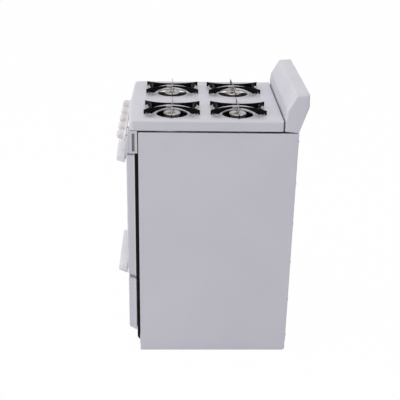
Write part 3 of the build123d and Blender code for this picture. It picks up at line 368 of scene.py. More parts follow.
def metal_finish(name, colour, stain, shine, bump=0.2, distance=0.0002, metallic=1.0):
    """Drawn metal of one colour, stained and dulled by those amounts."""
    values = {"Tint": colour, "Stain": stain, "Gloss": shine}
    return finish_with(name, metal_group, values, bump, distance, Metallic=metallic)


plated = metal_finish("zinc_plated", (0.55, 0.55, 0.53), 0.1, 0.28)
dress(black_enamel, "black_enamel", "front_frame")
dress(galvanised, "galvanised_steel", "back_panel")
dress(plated, "zinc_screw", "chassis_screws")

# Oven, insulation, racks.
# The liner and its loose floor are speckled blue-grey enamel over steel, wrapped in a mineral-wool
# blanket; the racks are welded wire, bright plated.
oven_enamel = enamelled("oven_enamel", (0.03, 0.034, 0.048), (0.45, 0.47, 0.52), 0.8, 0.3, 0.15, 0.0005, 1.5)


def fibre(nodes, links, place, given, result):
    """Laid fibres: noise drawn out along two directions, crossed, with painted shade darkening the hollows
    between tufts.
    """
    one = noise(nodes, links, place, 130.0, 5.0, (1.0, 6.0, 3.0))
    other = noise(nodes, links, place, 130.0, 5.0, (6.0, 1.0, 3.0))
    crossed = combine(nodes, links, "MULTIPLY", one, other)
    shade = remap(nodes, links, crossed, 0.1, 0.4, 0.6, 1.1)
    links.new(blend_colour(nodes, links, 1.0, given["Tint"], shade, "MULTIPLY"), result["Color"])
    links.new(remap(nodes, links, crossed, 0.1, 0.4, 0.95, 0.8), result["Roughness"])
    links.new(crossed, result["Height"])


fibre_group = surface_group("laid_fibre", [tint], fibre)
mineral_wool = finish_with("mineral_wool", fibre_group, {"Tint": (0.62, 0.53, 0.3)}, 0.8, 0.003)
bright_wire = metal_finish("bright_wire", (0.75, 0.75, 0.76), 0.15, 0.1, bump=0.05)
dress(oven_enamel, "oven_enamel", "oven_liner", "oven_floor")
dress(mineral_wool, "mineral_wool", "oven_insulation")
dress(bright_wire, "rack_chrome", "oven_rack_lower", "oven_rack_upper")

# Broiler box, oven burner and flue.
# Zinc-coated box and duct; the burner tube and the baffle over it are plain steel, stained by heat.
heated_steel = metal_finish("heated_steel", (0.36, 0.35, 0.34), 0.7, 0.4, bump=0.3, distance=0.0003)
dress(galvanised, "galvanised_steel", "broiler_box", "flue_duct")
dress(heated_steel, "burner_steel", "oven_burner", "flame_baffle")

# Burner box floor, gas pipe, regulator and valves.
# A black enamelled floor carries the rails, its black partly painted shade for the dark seen down the burner
# holes;
# the iron manifold feeds brass valves through a die-cast regulator.
machined_brass = metal_finish("machined_brass", (0.46, 0.38, 0.22), 0.4, 0.3)


def cast(nodes, links, place, given, result):
    """Sand-cast metal: a pitted skin, cloudy oxide and brighter high spots."""
    pits = noise(nodes, links, place, 700.0, 5.0)
    cloud = remap(nodes, links, noise(nodes, links, place, 45.0, 5.0), 0.35, 0.7, 0.72, 1.08)
    metal = blend_colour(nodes, links, 1.0, given["Tint"], cloud, "MULTIPLY")
    stain = remap(nodes, links, noise(nodes, links, place, 70.0, 4.0), 0.55, 0.75, 0.0, 0.5)
    links.new(blend_colour(nodes, links, stain, metal, given["Oxide"]), result["Color"])
    rough = remap(nodes, links, pits, 0.3, 0.7, 0.0, 0.2)
    links.new(combine(nodes, links, "ADD", given["Gloss"], rough), result["Roughness"])
    links.new(pits, result["Height"])


oxide = ("Oxide", "Color", (0.3, 0.25, 0.2, 1.0))
cast_group = surface_group("cast_metal", [tint, oxide, gloss], cast)
cast_look = {"Tint": (0.56, 0.53, 0.52), "Oxide": (0.3, 0.23, 0.2), "Gloss": 0.3}
cast_aluminium = finish_with("cast_aluminium", cast_group, cast_look, 0.25, 0.0003, Metallic=0.9)
# The floor's black is partly painted shade for the dark seen down the burner holes.
dress(black_enamel, "black_enamel", "burner_box_floor")
dress(heated_steel, "burner_steel", "manifold_pipe")
dress(cast_aluminium, "cast_aluminium", "pressure_regulator")
burner_places = ("left_rear", "left_front", "right_front", "right_rear")
dress(machined_brass, "valve_brass", "oven_thermostat", *[f"gas_valve_{place}" for place in burner_places])

# Surface burners.
# Each is an aluminium casting: a mixer tube, a riser, and a head ringed with ports that rises to a
# hub; a steel flash tube runs from each head to the pilot between front and rear.
BURNER_X = 131.0
BURNER_DEPTH = {"front": 145.0, "rear": 376.0}
BURNERS = [(row, hand, side, depth) for row, depth in BURNER_DEPTH.items() for hand, side in HANDS]
VALVE_X = {"front": 90.0, "rear": 180.0}
TUBE_HEIGHT, TUBE_MOUTH, TUBE_WALL = 842.0, 50.0, 2.0
FLASH_HEIGHT, FLASH_RADIUS = 880.0, 4.0
FLASH_END = {"front": 252.5, "rear": 268.5}
PORTS, PORT_DEPTH, PORT_HEIGHT, PORT_BAND = 28, 2.2, 893.5, 2.2
HEAD = [(0.01, 829.4), (15, 829.4), (15, 874), (16, 876.5), (24, 883), (25.2, 884.6), (26.2, 889), (27, 892)]
HEAD += [(27.4, 895), (27.8, 897.8), (28, 899), (24.4, 899.3), (24.2, 900.0), (29.2, 900.2), (29.9, 901.0)]
HEAD += [(30, 902.6), (29.8, 904.0), (28.6, 905.4), (25, 906.8), (20.5, 907.8), (13, 908.2), (10.2, 908.6)]
HEAD += [(8.2, 909.6), (7.2, 911.4), (6.9, 914.6), (7.4, 915.6), (9.4, 916.2), (10.1, 917.2), (10.2, 919.6)]
HEAD += [(9.6, 921.6), (8.2, 923.0), (5.6, 923.8), (3, 924.0), (0.01, 924.0)]


def turned(profile, spin, centre, dent=None):
    """A solid of revolution about a vertical axis: radius and height from the profile, spin places round it.

    dent(angle, height) is taken off the radius, so ports and flutes can be cut into the wall.
    """
    radius, height = np.asarray(profile, float).T
    angle = np.linspace(0, 2 * math.pi, spin, endpoint=False)
    reach = np.repeat(radius[:, None], spin, 1)
    if dent is not None:
        reach = reach - dent(angle[None, :], height[:, None])
    x = centre[0] + reach * np.cos(angle)
    depth = centre[1] + reach * np.sin(angle)
    return np.stack([x, depth, np.repeat(height[:, None], spin, 1)], 2)


def pipe(path, radius, around=20):
    """Round pipe: circles of the given radius square to a smooth path, framed against the vertical."""
    path = np.asarray(path, float)
    radius = np.broadcast_to(radius, len(path))
    along = np.gradient(path, axis=0)
    along /= np.linalg.norm(along, axis=1, keepdims=True)
    side = np.cross(along, (0.0, 0.0, 1.0))
    side /= np.linalg.norm(side, axis=1, keepdims=True)
    up = np.cross(side, along)
    angle = np.linspace(0, 2 * math.pi, around, endpoint=False)[None, :, None]
    ring = side[:, None] * np.cos(angle) + up[:, None] * np.sin(angle)
    return path[:, None] + ring * radius[:, None, None]


def port_row(angle, height):
    """Ports as dents where a cosine round the head peaks, fading out above and below their band."""
    tooth = np.clip((np.cos(angle * PORTS) - 0.25) * 4, 0, 1)
    band = np.clip(1.5 - np.abs(height - PORT_HEIGHT) / PORT_BAND, 0, 1)
    return PORT_DEPTH * tooth * band


for row, hand, side, depth in BURNERS:
    centre = (side * BURNER_X, depth)
    rings, replaced = turned(HEAD, 6 * PORTS, centre, port_row), [f"surface_burner_{row}_{hand}"]
    lay(f"burner_head_{row}_{hand}", rings, "chassis", cast_aluminium, "cast_aluminium", replaced)
    reach = np.linspace(0, 1, 24)[:, None]
    mouth = np.array((side * VALVE_X[row], TUBE_MOUTH, TUBE_HEIGHT))
    path = mouth + reach * (np.array((*centre, TUBE_HEIGHT)) - mouth)
    flare = 12.0 - 1.6 * np.exp(-(((reach[:, 0] - 0.3) / 0.12) ** 2))
    name, open_ends = f"mixer_tube_{row}_{hand}", (False, False)
    tube = lay(name, pipe(path, flare), "chassis", cast_aluminium, "cast_aluminium", caps=open_ends)
    thicken(tube, TUBE_WALL)
    run = FLASH_END[row] - depth
    flash = np.array([(centre[0], depth + t * run, FLASH_HEIGHT) for t in np.linspace(0.0, 1.0, 8)])
    rings = pipe(flash, FLASH_RADIUS, 14)
    lay(f"flash_tube_{row}_{hand}", rings, "chassis", heated_steel, "burner_steel")

# Cooktop.
# One sheet drawn into a tray: bowed front, rolled edge, a deep lip all round and a raised ring
# round each burner hole; white enamel. It lifts on two pins at the back.
TOP = 914.0
LIP_LOW = 877.0
TOP_DEPTH = 525.0
TOP_BOW = 5.0
MIDDLE = 260.5  # depth of the seam between the front and the rear burners' cells
CORNER, REAR_CORNER = 18.0, 5.0
EDGE_RADIUS, REAR_RADIUS = 9.0, 2.5
TOP_SHEET, ROLL_DROP = 1.5, 10.5
SEAM_STEPS, NEAR = 24, 1e-6
HINGE_NOTCH = (226.0, 241.0)  # cut in the rear lip, where it swings past the hinge brackets


def quarter_front(count):
    """The front right quarter of the edge: a parabola bowed forward, the corner's arc, then straight back."""
    x = np.linspace(0, HALF_WIDTH - CORNER, count)
    front = np.stack([x, -TOP_BOW * (1 - (x / HALF_WIDTH) ** 2)], 1)
    centre = np.array((HALF_WIDTH - CORNER, front[-1, 1] + CORNER))
    angle = np.linspace(-math.pi / 2, 0, 9)[1:]
    arc = centre + CORNER * np.stack([np.cos(angle), np.sin(angle)], 1)
    side = np.stack([np.full(count, HALF_WIDTH), np.linspace(centre[1], MIDDLE, count + 1)[1:]], 1)
    return np.concatenate([front, arc, side])


def quarter_rear(count):
    """The rear right quarter: straight back, a small corner, to the middle with points at the notches."""
    centre = np.array((HALF_WIDTH - REAR_CORNER, TOP_DEPTH - REAR_CORNER))
    side = np.stack([np.full(count, HALF_WIDTH), np.linspace(MIDDLE, centre[1], count)], 1)
    angle = np.linspace(0, math.pi / 2, 5)[1:-1]
    arc = centre + REAR_CORNER * np.stack([np.cos(angle), np.sin(angle)], 1)
    x = np.concatenate([np.linspace(centre[0], 0, count), HINGE_NOTCH])
    rear = np.stack([np.sort(x)[::-1], np.full(len(x), TOP_DEPTH)], 1)
    return np.concatenate([side, arc, rear])


right_edge = np.concatenate([quarter_front(30), quarter_rear(30)[1:]])
left_edge = right_edge[::-1][1:-1] * (-1, 1)
edge = np.concatenate([right_edge, left_edge])
edge_radius = np.interp(edge[:, 1], (TOP_DEPTH - 14, TOP_DEPTH - 2), (EDGE_RADIUS, REAR_RADIUS))[:, None]
inward = inset_loop(edge, 1.0) - edge
rim = []
for a in np.linspace(0, math.pi / 2, 9):
    plan = edge + inward * edge_radius * (1 - math.sin(a))
    rim.append(np.concatenate([plan, TOP - edge_radius * (1 - math.cos(a))], 1))
for z in (TOP - ROLL_DROP, (TOP + LIP_LOW) / 2, LIP_LOW + 0.6, LIP_LOW):
    rim.append(spread(edge, 2, z))
lip_rings = np.array(rim)
inner = rim[0][:, :2]
# The raised ring as radius and height, then the well as half width and height, out to the flat top.
RING = [(55.0, 896.6), (55.0, 898.4), (55.5, 900.2), (57.0, 902.0), (59.4, 903.1), (62.0, 903.4)]
RING += [(64.8, 902.7), (67.2, 901.3), (69.0, 900.5), (71.0, 900.1)]
WELL = [(73.5, 900.0), (75.5, 900.6), (78.0, 902.4), (82.5, 906.0), (87.5, 910.2), (90.5, 912.5)]
WELL += [(92.5, 913.6), (95.0, 914.0)]
WELL_CORNER = 20.0


def square_reach(direction, half, corner):
    """Middle to edge of a rounded square: half over the larger component, or the corner's arc."""
    large, small = np.abs(direction).max(1), np.abs(direction).min(1)
    flat = half / large
    bend = (half - corner) * (large + small)
    round_reach = bend + np.sqrt(np.maximum(bend**2 - 2 * (half - corner) ** 2 + corner**2, 0))
    return np.where(flat * small <= half - corner, flat, round_reach)


vertices = [lip_rings.reshape(-1, 3)]
faces = [ring_quads(len(rim), len(edge))]
offset = len(vertices[0])
for row, _, side, depth in BURNERS:
    toward = -1 if row == "front" else 1
    kept = (inner[:, 0] * side >= -NEAR) & ((inner[:, 1] - MIDDLE) * toward >= -NEAR)
    border = inner[kept]
    across = np.linspace(0, 1, SEAM_STEPS)
    limit = np.abs(border[np.argmin(np.abs(border[:, 1] - MIDDLE)), 0])
    far = border[np.argmin(np.abs(border[:, 0])), 1]
    seam = np.stack([side * limit * across, np.full(SEAM_STEPS, MIDDLE)], 1)
    spine = np.stack([np.zeros(SEAM_STEPS), MIDDLE + (far - MIDDLE) * across], 1)
    border = np.concatenate([border, seam, spine])
    centre = np.array((side * BURNER_X, depth))
    angle = np.arctan2(border[:, 1] - centre[1], border[:, 0] - centre[0])
    border = border[np.argsort(angle)]
    keep = np.ones(len(border), bool)
    keep[1:] = np.linalg.norm(np.diff(border, axis=0), axis=1) > 1e-4
    border = border[keep]
    direction = border - centre
    direction /= np.linalg.norm(direction, axis=1, keepdims=True)
    cell = [np.insert(centre + direction * radius, 2, z, axis=1) for radius, z in RING]
    for half, z in WELL:
        reach = square_reach(direction, half, WELL_CORNER)[:, None]
        cell.append(np.insert(centre + direction * reach, 2, z, axis=1))
    cell.append(np.insert(border, 2, TOP, axis=1))
    cell = np.array(cell)
    faces.append(ring_quads(*cell.shape[:2]) + offset)
    vertices.append(cell.reshape(-1, 3))
    offset += len(vertices[-1])
sheet = bpy.data.meshes.new("cooktop_sheet")
places = np.concatenate(vertices) * MM + (0, FRONT_EDGE, 0)
sheet.from_pydata(places.tolist(), [], np.concatenate(faces).tolist())
cooktop = settle("cooktop_sheet", sheet, "cooktop", white_enamel, ["cooktop"])


def cut_away(piece, picked):
    """Delete the faces of a piece whose middle is picked(x, depth, height), all in millimetres."""
    work = bmesh.new()
    work.from_mesh(piece.data)
    gone = []
    for face in work.faces:
        x, y, z = face.calc_center_median() / MM
        if picked(x, y - FRONT_EDGE / MM, z):
            gone.append(face)
    bmesh.ops.delete(work, geom=gone, context="FACES")
    work.to_mesh(piece.data)
    work.free()


def at_hinge(x, depth, z):
    """Whether a face of the rear lip lies in front of a hinge bracket."""
    return HINGE_NOTCH[0] < abs(x) < HINGE_NOTCH[1] and z < TOP - 2 and depth > TOP_DEPTH - 1


cut_away(cooktop, at_hinge)
thicken(cooktop, TOP_SHEET)

# Burner grates.
# Steel strips on edge, welded and enamelled black: two long ones bowed towards each other, two short
# ones that tie them, and a thin blade across the middle with its own feet.
grate_black = (0.006, 0.006, 0.006)
grate_enamel = enamelled("grate_enamel", grate_black, (0.05, 0.045, 0.04), 0.3, 0.38, 0.25, 0.0005, 1.12)


def glint_and_wear_edge(nodes, links, place, given, result):
    """Black enamel lightened to pinkish grey wherever the face looks up, broken by noise: partly steel rubbed
    bare, partly a painted glint along the top edge.
    """
    normal = nodes.new("ShaderNodeSeparateXYZ")
    links.new(nodes.new("ShaderNodeNewGeometry").outputs["Normal"], normal.inputs["Vector"])
    upward = remap(nodes, links, normal.outputs["Z"], 0.3, 0.8, 0.0, 1.0)
    patchy = remap(nodes, links, noise(nodes, links, place, 160.0, 4.0), 0.3, 0.6, 0.55, 1.0)
    rubbed = combine(nodes, links, "MULTIPLY", upward, patchy)
    links.new(blend_colour(nodes, links, rubbed, given["Tint"], (0.6, 0.53, 0.56)), result["Color"])
    links.new(remap(nodes, links, rubbed, 0.0, 1.0, 0.45, 0.35), result["Roughness"])
    links.new(noise(nodes, links, place, 420.0, 2.0), result["Height"])


# Light steel for the tab: a painted highlight on the near strip at the grate's waist.
highlight_tab_steel = metal_finish("highlight_tab_steel", (0.46, 0.46, 0.465), 0.15, 0.45, distance=0.0003, metallic=0.5)
glint_and_wear_group = surface_group("glint_and_wear_edge", [tint], glint_and_wear_edge)
# The blade's finish: its upward faces carry a painted glint as well as bare steel.
worn_enamel = finish_with("worn_enamel", glint_and_wear_group, {"Tint": grate_black}, 0.2, 0.0004, IOR=1.2)
EDGE_SHARE = 0.45  # a strip's edge radius over its thickness


def strip_on_edge(path, thickness, low, high):
    """A strip standing on edge along the path, from low to high, its edges rounded by quarter circles."""
    path = np.asarray(path, float)
    along = np.gradient(path, axis=0)
    along /= np.linalg.norm(along, axis=1, keepdims=True)
    across = np.stack([-along[:, 1], along[:, 0]], 1)
    soft = EDGE_SHARE * thickness
    corner = np.linspace(0, math.pi / 2, 4)
    lean = thickness / 2 - soft + soft * np.sin(corner)
    rise = soft * (1 - np.cos(corner))
    outward = np.concatenate([lean, lean[::-1], -lean, -lean[::-1]])
    drop = np.concatenate([rise, rise[::-1], rise, rise[::-1]])
    upper = np.concatenate([np.zeros(4), np.ones(8), np.zeros(4)])[None, :]
    z = low[:, None] * (1 - upper) + high[:, None] * upper + drop * np.where(upper > 0, -1, 1)
    flat = path[:, None] + across[:, None] * outward[None, :, None]
    return np.concatenate([flat, z[..., None]], 2)


def bowed(along, sagitta, half_chord):
    """How far a circular arc of that sagitta has left its middle at each distance along its chord."""
    radius = (half_chord**2 + sagitta**2) / (2 * sagitta)
    return radius - np.sqrt(radius**2 - along**2)


FOOT, NOTCH, LEG, ARCH, TIP, CROWN = TOP + 0.3, TOP + 6.0, TOP - 4.0, TOP + 13.5, TOP + 16.5, TOP + 19.5
TIP_REACH, LEG_REACH, BLADE_REACH = 96.0, 70.0, 101.0
CROWN_REACH, BLADE_ARCH = 98.0, 90.0
WAIST, LONG_BOW = 17.0, 39.0
TIE_MIDDLE, TIE_HALF, TIE_BOW = 73.0, 47.0, 13.0
LONG_THICK, TIE_THICK, BLADE_THICK, HIGHLIGHT_TAB_THICK = 3.0, 3.4, 2.8, 1.0


def mirrored(steps, inner, count):
    """Places along a strip: evenly spaced to inner on both sides, then the given steps out to the ends."""
    return np.concatenate([-np.array(steps[::-1]), np.linspace(-inner, inner, count), steps])


long_way = mirrored((71.5, 73.0, 76.5, 80.0, 84.0, 86.0, 88.0, 90.0, 93.0, TIP_REACH), LEG_REACH, 41)
blade_way = mirrored((90.0, 94.0, 96.5, BLADE_REACH), 86.0, 43)
tie_way = np.linspace(-TIE_HALF, TIE_HALF, 25)


def crown(away):
    """Height of the upper edge: a shallow parabola from the middle down to the tips."""
    return CROWN - (CROWN - TIP) * (away / CROWN_REACH) ** 2


def under_long(away):
    """Height of a long strip's lower edge: a circular arch, a leg down in the well, a notch and the foot."""
    arch = ARCH - bowed(np.minimum(away, LEG_REACH), ARCH - LEG, LEG_REACH)
    heights = (LEG, LEG + 0.5, TOP, TOP + 3, NOTCH, NOTCH, FOOT)
    steps = np.interp(away, (LEG_REACH, 73, 80, 84, 86, 88.5, 90.5), heights)
    return np.where(away < LEG_REACH, arch, steps)


def under_blade(away):
    """Height of the blade's lower edge: its foot, a slant and the arch."""
    arch = ARCH - (ARCH - NOTCH) * (away / BLADE_ARCH) ** 2
    return np.where(away < BLADE_ARCH, arch, np.interp(away, (BLADE_ARCH, 94), (NOTCH, FOOT)))


# The tab's section as x and rise, and its depths: a light steel plate at the waist that stands in for a
# painted highlight on the near strip; then how far a grate is turned on its seat, in degrees.
HIGHLIGHT_TAB = [(-15.6, -6.5), (-14.4, -5.6), (13.0, 0.2), (17.5, 0.4), (19.8, -0.8), (20.4, -8.4)]
HIGHLIGHT_TAB_PLACES = (-20.5, -19.5, -11.0, -2.5, -1.5)
SKEW = {("rear", "left"): 2.2, ("rear", "right"): -1.0, ("front", "right"): -0.6}
for row, hand, side, depth in BURNERS:
    middle = np.array((side * BURNER_X, depth))
    grate, rings = f"grate_{row}_{hand}", {}
    for lean, title in ((-1, "inner"), (1, "outer")):
        plan = np.stack([lean * (WAIST + bowed(long_way, LONG_BOW, TIP_REACH)), long_way], 1)
        away = np.abs(long_way)
        rings[f"long_{title}"] = strip_on_edge(plan, LONG_THICK, under_long(away), crown(away))
        plan = np.stack([tie_way, lean * (TIE_MIDDLE + bowed(tie_way, TIE_BOW, TIE_HALF))], 1)
        low = TOP - 5.0 + 4.0 * (tie_way / TIE_HALF) ** 2
        rings[f"tie_{title}"] = strip_on_edge(plan, TIE_THICK, low, crown(np.abs(plan[:, 1])))
    across, away = np.stack([blade_way, 0 * blade_way], 1), np.abs(blade_way)
    rings["blade"] = strip_on_edge(across, BLADE_THICK, under_blade(away), crown(away))
    highlight_tab = [[(x, y, CROWN + rise + HIGHLIGHT_TAB_THICK) for x, rise in HIGHLIGHT_TAB] for y in HIGHLIGHT_TAB_PLACES]
    angle = math.radians(SKEW.get((row, hand), 0.0))
    spin = np.array(((math.cos(angle), math.sin(angle)), (-math.sin(angle), math.cos(angle))))
    for title, ring in (*rings.items(), ("highlight_tab", np.array(highlight_tab))):
        ring[..., :2] = ring[..., :2] @ spin + middle
        replaced = [grate] if title == "blade" else ()
        metal = {"blade": worn_enamel, "highlight_tab": highlight_tab_steel}.get(title, grate_enamel)
        finish = "rack_chrome" if title == "highlight_tab" else "grate_enamel"
        strip = lay(f"{grate}_{title}", ring, grate, metal, finish, replaced, closed=title != "highlight_tab")
        if title == "highlight_tab":
            thicken(strip, HIGHLIGHT_TAB_THICK)

# Backguard.
# A hollow splash panel folded from one sheet: a cove at the foot, a face that leans back, a soft bend
# over the top and slots behind; it stands on the side panels.
SLOT_HEIGHTS = ((991.0, 987.0), (982.0, 978.0), (973.0, 969.0))
SLOT_PLACES = (-168, -84, 0, 84, 168)
SLOT_REACH, SLOT_EDGE = 28.6, 30.0  # half a slot's length, and half with the points that hold its ends
GUARD_TOP, GUARD_BACK, BACK_FROM = 1008.0, 607.0, 600.0
BACK_LEAN, BACK_DROP = 2.0, 45.0
GUARD = [(529.0, 877.0), (529.0, 927.0), (532.0, 952.0), (562.0, 1005.2), (GUARD_BACK, GUARD_TOP)]
GUARD += [(GUARD_BACK + BACK_LEAN * (GUARD_TOP - z) / BACK_DROP, z) for pair in SLOT_HEIGHTS for z in pair]
GUARD += [(GUARD_BACK + BACK_LEAN, GUARD_TOP - BACK_DROP), (BODY_REAR, 872.0)]
GUARD_RADII = np.array((1.5, 30.0, 26.0, 10.0, 3.0, *(0.0,) * 6, 2.0, 1.5))
END_RADIUS = 9.0


def bar(profile, stations):
    """A profile of depth and height carried along X: at each station (x, inset) it shrinks by the inset."""
    return np.array([spread(inset_loop(profile, inset), 0, x) for x, inset in stations])


def eased_ends(half, radius, steps=5):
    """Stations from -half to half, shrinking by a quarter circle of that radius at both ends."""
    angle = np.linspace(0, math.pi / 2, steps + 1)
    ends = [(half - radius * (1 - math.sin(a)), radius * (1 - math.cos(a))) for a in angle]
    return [(-x, inset) for x, inset in ends[::-1]] + [(x, inset) for x, inset in ends]


corners = np.array(GUARD)
share = np.clip((corners[:, 1:] - 880.0) / 45.0, 0.1, 1.0)  # the foot keeps its full width
rings = []
reaches = (-SLOT_EDGE, -SLOT_REACH, SLOT_REACH, SLOT_EDGE)
slot_ends = [middle + reach for middle in SLOT_PLACES for reach in reaches]
ends = eased_ends(HALF_WIDTH, END_RADIUS, 8)
for x, inset in ends[:9] + [(x, 0.0) for x in slot_ends] + ends[9:]:
    shrunk = corners + (inset_loop(corners, inset) - corners) * share
    radii = np.where(GUARD_RADII > 0, np.maximum(GUARD_RADII - inset * 0.3, 1.0), 0.0)
    rings.append(spread(round_corners(shrunk, radii, 6), 0, x))
guard = lay("backguard_shell", rings, *SHELL, ["backguard"])


def in_slot(x, depth, z):
    """Whether a face of the guard's back lies in one of its slots."""
    in_row = any(high > z > low for high, low in SLOT_HEIGHTS)
    return in_row and depth > BACK_FROM and any(abs(x - place) < SLOT_REACH for place in SLOT_PLACES)


cut_away(guard, in_slot)
thicken(guard, SHEET)

# Control panel and its end plates.
# A narrow sheet panel that leans back over the door, with the knob shafts through it; each end is
# closed by a plate with a tall slot.
PANEL_LOW, PANEL_TOP, PANEL_FRONT, PANEL_LEAN = 797.0, 872.0, -17.0, 13.0
PANEL_RISE = PANEL_TOP - PANEL_LOW
PANEL = [(PANEL_FRONT, PANEL_LOW), (PANEL_FRONT + PANEL_LEAN, PANEL_TOP)]
PANEL += [(-2.5, PANEL_TOP), (-2.5, PANEL_LOW)]
FLANGE_HALF, FLANGE_REAR = 251.8, 22.0
CLOSER_LOW, CLOSER_TOP, CLOSER_SHEET = 799.0, 869.5, 0.6
CLOSER_PLACE, CLOSER_INSET = 250.6, 1.6
RIB, RIB_PITCH = 0.9, 7.0
panel_profile = round_corners(PANEL, (2.5, 0.6, 0.6, 1.0), 4)
rings = bar(panel_profile, eased_ends(HALF_WIDTH, 0.7, 3))
lay("control_face", rings, *SHELL, ["control_panel"])
for title, front, low in (("upper", -3.2, 870.8), ("lower", -9.0, PANEL_LOW)):
    flange = [(front, low), (FLANGE_REAR, low), (FLANGE_REAR, low + SHEET), (front, low + SHEET)]
    rings = bar(round_corners(flange, (0.3,) * 4, 2), eased_ends(FLANGE_HALF, 0.3, 2))
    lay(f"panel_flange_{title}", rings, *SHELL)
dress(white_enamel, "white_enamel", "panel_ends")
dull_zinc = finish_with("dull_zinc", zinc_group, {"Tint": (0.27, 0.26, 0.25)}, 0.2, 0.0005, Metallic=0.3)
strip_height = np.linspace(CLOSER_LOW, CLOSER_TOP, 95)
fade = np.clip((845.0 - strip_height) / 20.0, 0.15, 1.0)  # the ribs die out towards the top
ribs = RIB * np.sin((strip_height - CLOSER_LOW) / RIB_PITCH * 2 * math.pi) * fade
for hand, side in HANDS:
    x = side * (CLOSER_PLACE + ribs - CLOSER_INSET)
    strip = [np.stack([x, 0 * ribs + depth, strip_height], 1) for depth in (6.0, 7.5, 19.5, 21.0)]
    closer = lay(f"slot_closer_{hand}", strip, "chassis", dull_zinc, "galvanised_steel", closed=False)
    thicken(closer, CLOSER_SHEET)

# Knobs and stems.
# White moulded knobs with a wide skirt and a tapered grip, on steel stems with a flat.
KNOB_HEIGHT, KNOB_PITCH = 835.0, 90.0
KNOB_DEPTH = PANEL_FRONT + (KNOB_HEIGHT - PANEL_LOW) * PANEL_LEAN / PANEL_RISE
knob_plastic = finish_with(
    "knob_plastic", moulded_group, {"Tint": (0.68, 0.645, 0.66), "Gloss": 0.34}, 0.12, 0.0003, IOR=1.5
)
knob_out = np.array((0.0, -PANEL_RISE, PANEL_LEAN)) / math.hypot(PANEL_RISE, PANEL_LEAN)
knob_up = np.array((0.0, PANEL_LEAN, PANEL_RISE)) / math.hypot(PANEL_RISE, PANEL_LEAN)
KNOB_TOP, FLUTES, FLUTE_DEPTH = 36.5, 18, 0.45
KNOB = [(0.01, 4.5), (21.5, 4.5), (23.0, 5.2), (23.0, 7.6), (22.4, 8.6), (20.5, 9.4), (18.2, 11.2)]
KNOB += [(17.2, 13.4), (16.9, 16.0), (16.5, 22.0), (16.2, 26.0), (15.5, 29.0), (14.2, 31.8), (12.2, 34.0)]
KNOB += [(9.6, 35.5), (6.5, 36.3), (3.0, KNOB_TOP), (0.01, KNOB_TOP)]
knob_radius, knob_reach = np.array(KNOB).T
flute_depth = np.where((knob_reach > 14) & (knob_reach < 28), FLUTE_DEPTH, 0.0)
spin = np.linspace(0, 2 * math.pi, 4 * FLUTES, endpoint=False)
around = np.cos(spin)[:, None] * (1.0, 0.0, 0.0) + np.sin(spin)[:, None] * knob_up
steel_stem = metal_finish("turned_stem", (0.5, 0.5, 0.5), 0.1, 0.25)
for index, place in enumerate(("left_rear", "left_front", "oven", "right_front", "right_rear")):
    root = np.array(((index - 2) * KNOB_PITCH, KNOB_DEPTH, KNOB_HEIGHT))
    flute = flute_depth[:, None] * (0.5 + 0.5 * np.cos(spin * FLUTES)) ** 2
    reach = knob_radius[:, None] - flute
    ring = root + reach[..., None] * around + knob_reach[:, None, None] * knob_out
    lay(f"knob_cap_{place}", ring, f"knob_{place}", knob_plastic, "knob_white", [f"knob_{place}"])
    mark_reach = np.linspace(1.5, 12.0, 10)
    mark_out = np.interp(mark_reach, (1.5, 3.0, 6.5, 9.6, 12.2), (KNOB_TOP, KNOB_TOP, 36.3, 35.5, 34.0))
    pointer = []
    for half, lift in ((0.9, -0.4), (0.9, 0.0), (-0.9, 0.0), (-0.9, -0.4)):
        height = np.minimum(mark_out + lift + 0.05, KNOB_TOP)
        spine = np.outer(mark_reach, knob_up) + np.outer(height, knob_out)
        pointer.append(root + spine + (half, 0.0, 0.0))
    ring = np.array(pointer).transpose(1, 0, 2)
    lay(f"knob_mark_{place}", ring, f"knob_{place}", foot_plastic, "black_plastic")
dress(steel_stem, "stem_steel", *[f"valve_stem_{place}" for place in (*burner_places, "oven")])

# Oven door.
# A white enamelled pan with a rolled rear hem over an enamelled liner, wool between them and a
# braided gasket; two steel straps turn on the frame's pins.
DOOR_HALF, DOOR_FRONT, DOOR_REAR, DOOR_TOP = 250.0, -11.0, 18.0, 787.0
DRAWER_FRONT = -10.0
LUG = (213.0, 229.0)  # gaps in the door's bottom edge, for the hinge straps
PAN_BEND, PAN_SHEET = 4.0, 1.1


def front_pan(name, body, replaced, front, low, high, hem, lugs=False):
    """A pan open at the back: at each depth a rectangle, bottom and top linear from front to rear.

    It is inset by a quarter circle at the front bend and let out by the hem; lugs cuts gaps in the bottom.
    """

    def outline(depth, inset):
        """The inset rectangle at one depth, its corners rounded."""
        t = (depth - front) / (DOOR_REAR - front)
        base = low[0] + (low[1] - low[0]) * t
        top = high[0] + (high[1] - high[0]) * t
        cuts = [(x, base) for x in (-LUG[1], -LUG[0], LUG[0], LUG[1])]
        points = [(-DOOR_HALF, base), *cuts, (DOOR_HALF, base), (DOOR_HALF, top), (-DOOR_HALF, top)]
        corner = max(3.0 - 0.4 * max(inset, 0.0), 0.8)
        radii = (corner, 0, 0, 0, 0, corner, corner, corner)
        return spread(round_corners(inset_loop(np.array(points), inset), radii, 4), 1, depth)

    def in_lug(x, depth, z):
        """Whether a face of the pan's bottom lies in a lug gap."""
        return LUG[0] < abs(x) < LUG[1] and z < low[0] + 2 and depth > front + 3.0

    folds = ((0.0, 0.5 - hem), (0.5, -hem), (3.0, -hem), (3.8, -hem * 0.6), (4.4, 0.0))
    stations = [(DOOR_REAR - back, inset) for back, inset in folds]
    stations += [(front + 7.0, 0.0), (front + 3.0, 0.0)]
    for a in np.linspace(0, math.pi / 2, 6):
        stations.append((front + PAN_BEND * (1 - math.sin(a)), PAN_BEND * (1 - math.cos(a))))
    stations += [(front, PAN_BEND + 0.8)]
    stations = sorted(set(stations), key=lambda s: (-s[0], s[1]))
    rings = np.array([outline(depth, inset) for depth, inset in stations])
    pan = lay(name, rings, body, white_enamel, "white_enamel", [replaced], caps=(False, True))
    if lugs:
        cut_away(pan, in_lug)
    return thicken(pan, PAN_SHEET)


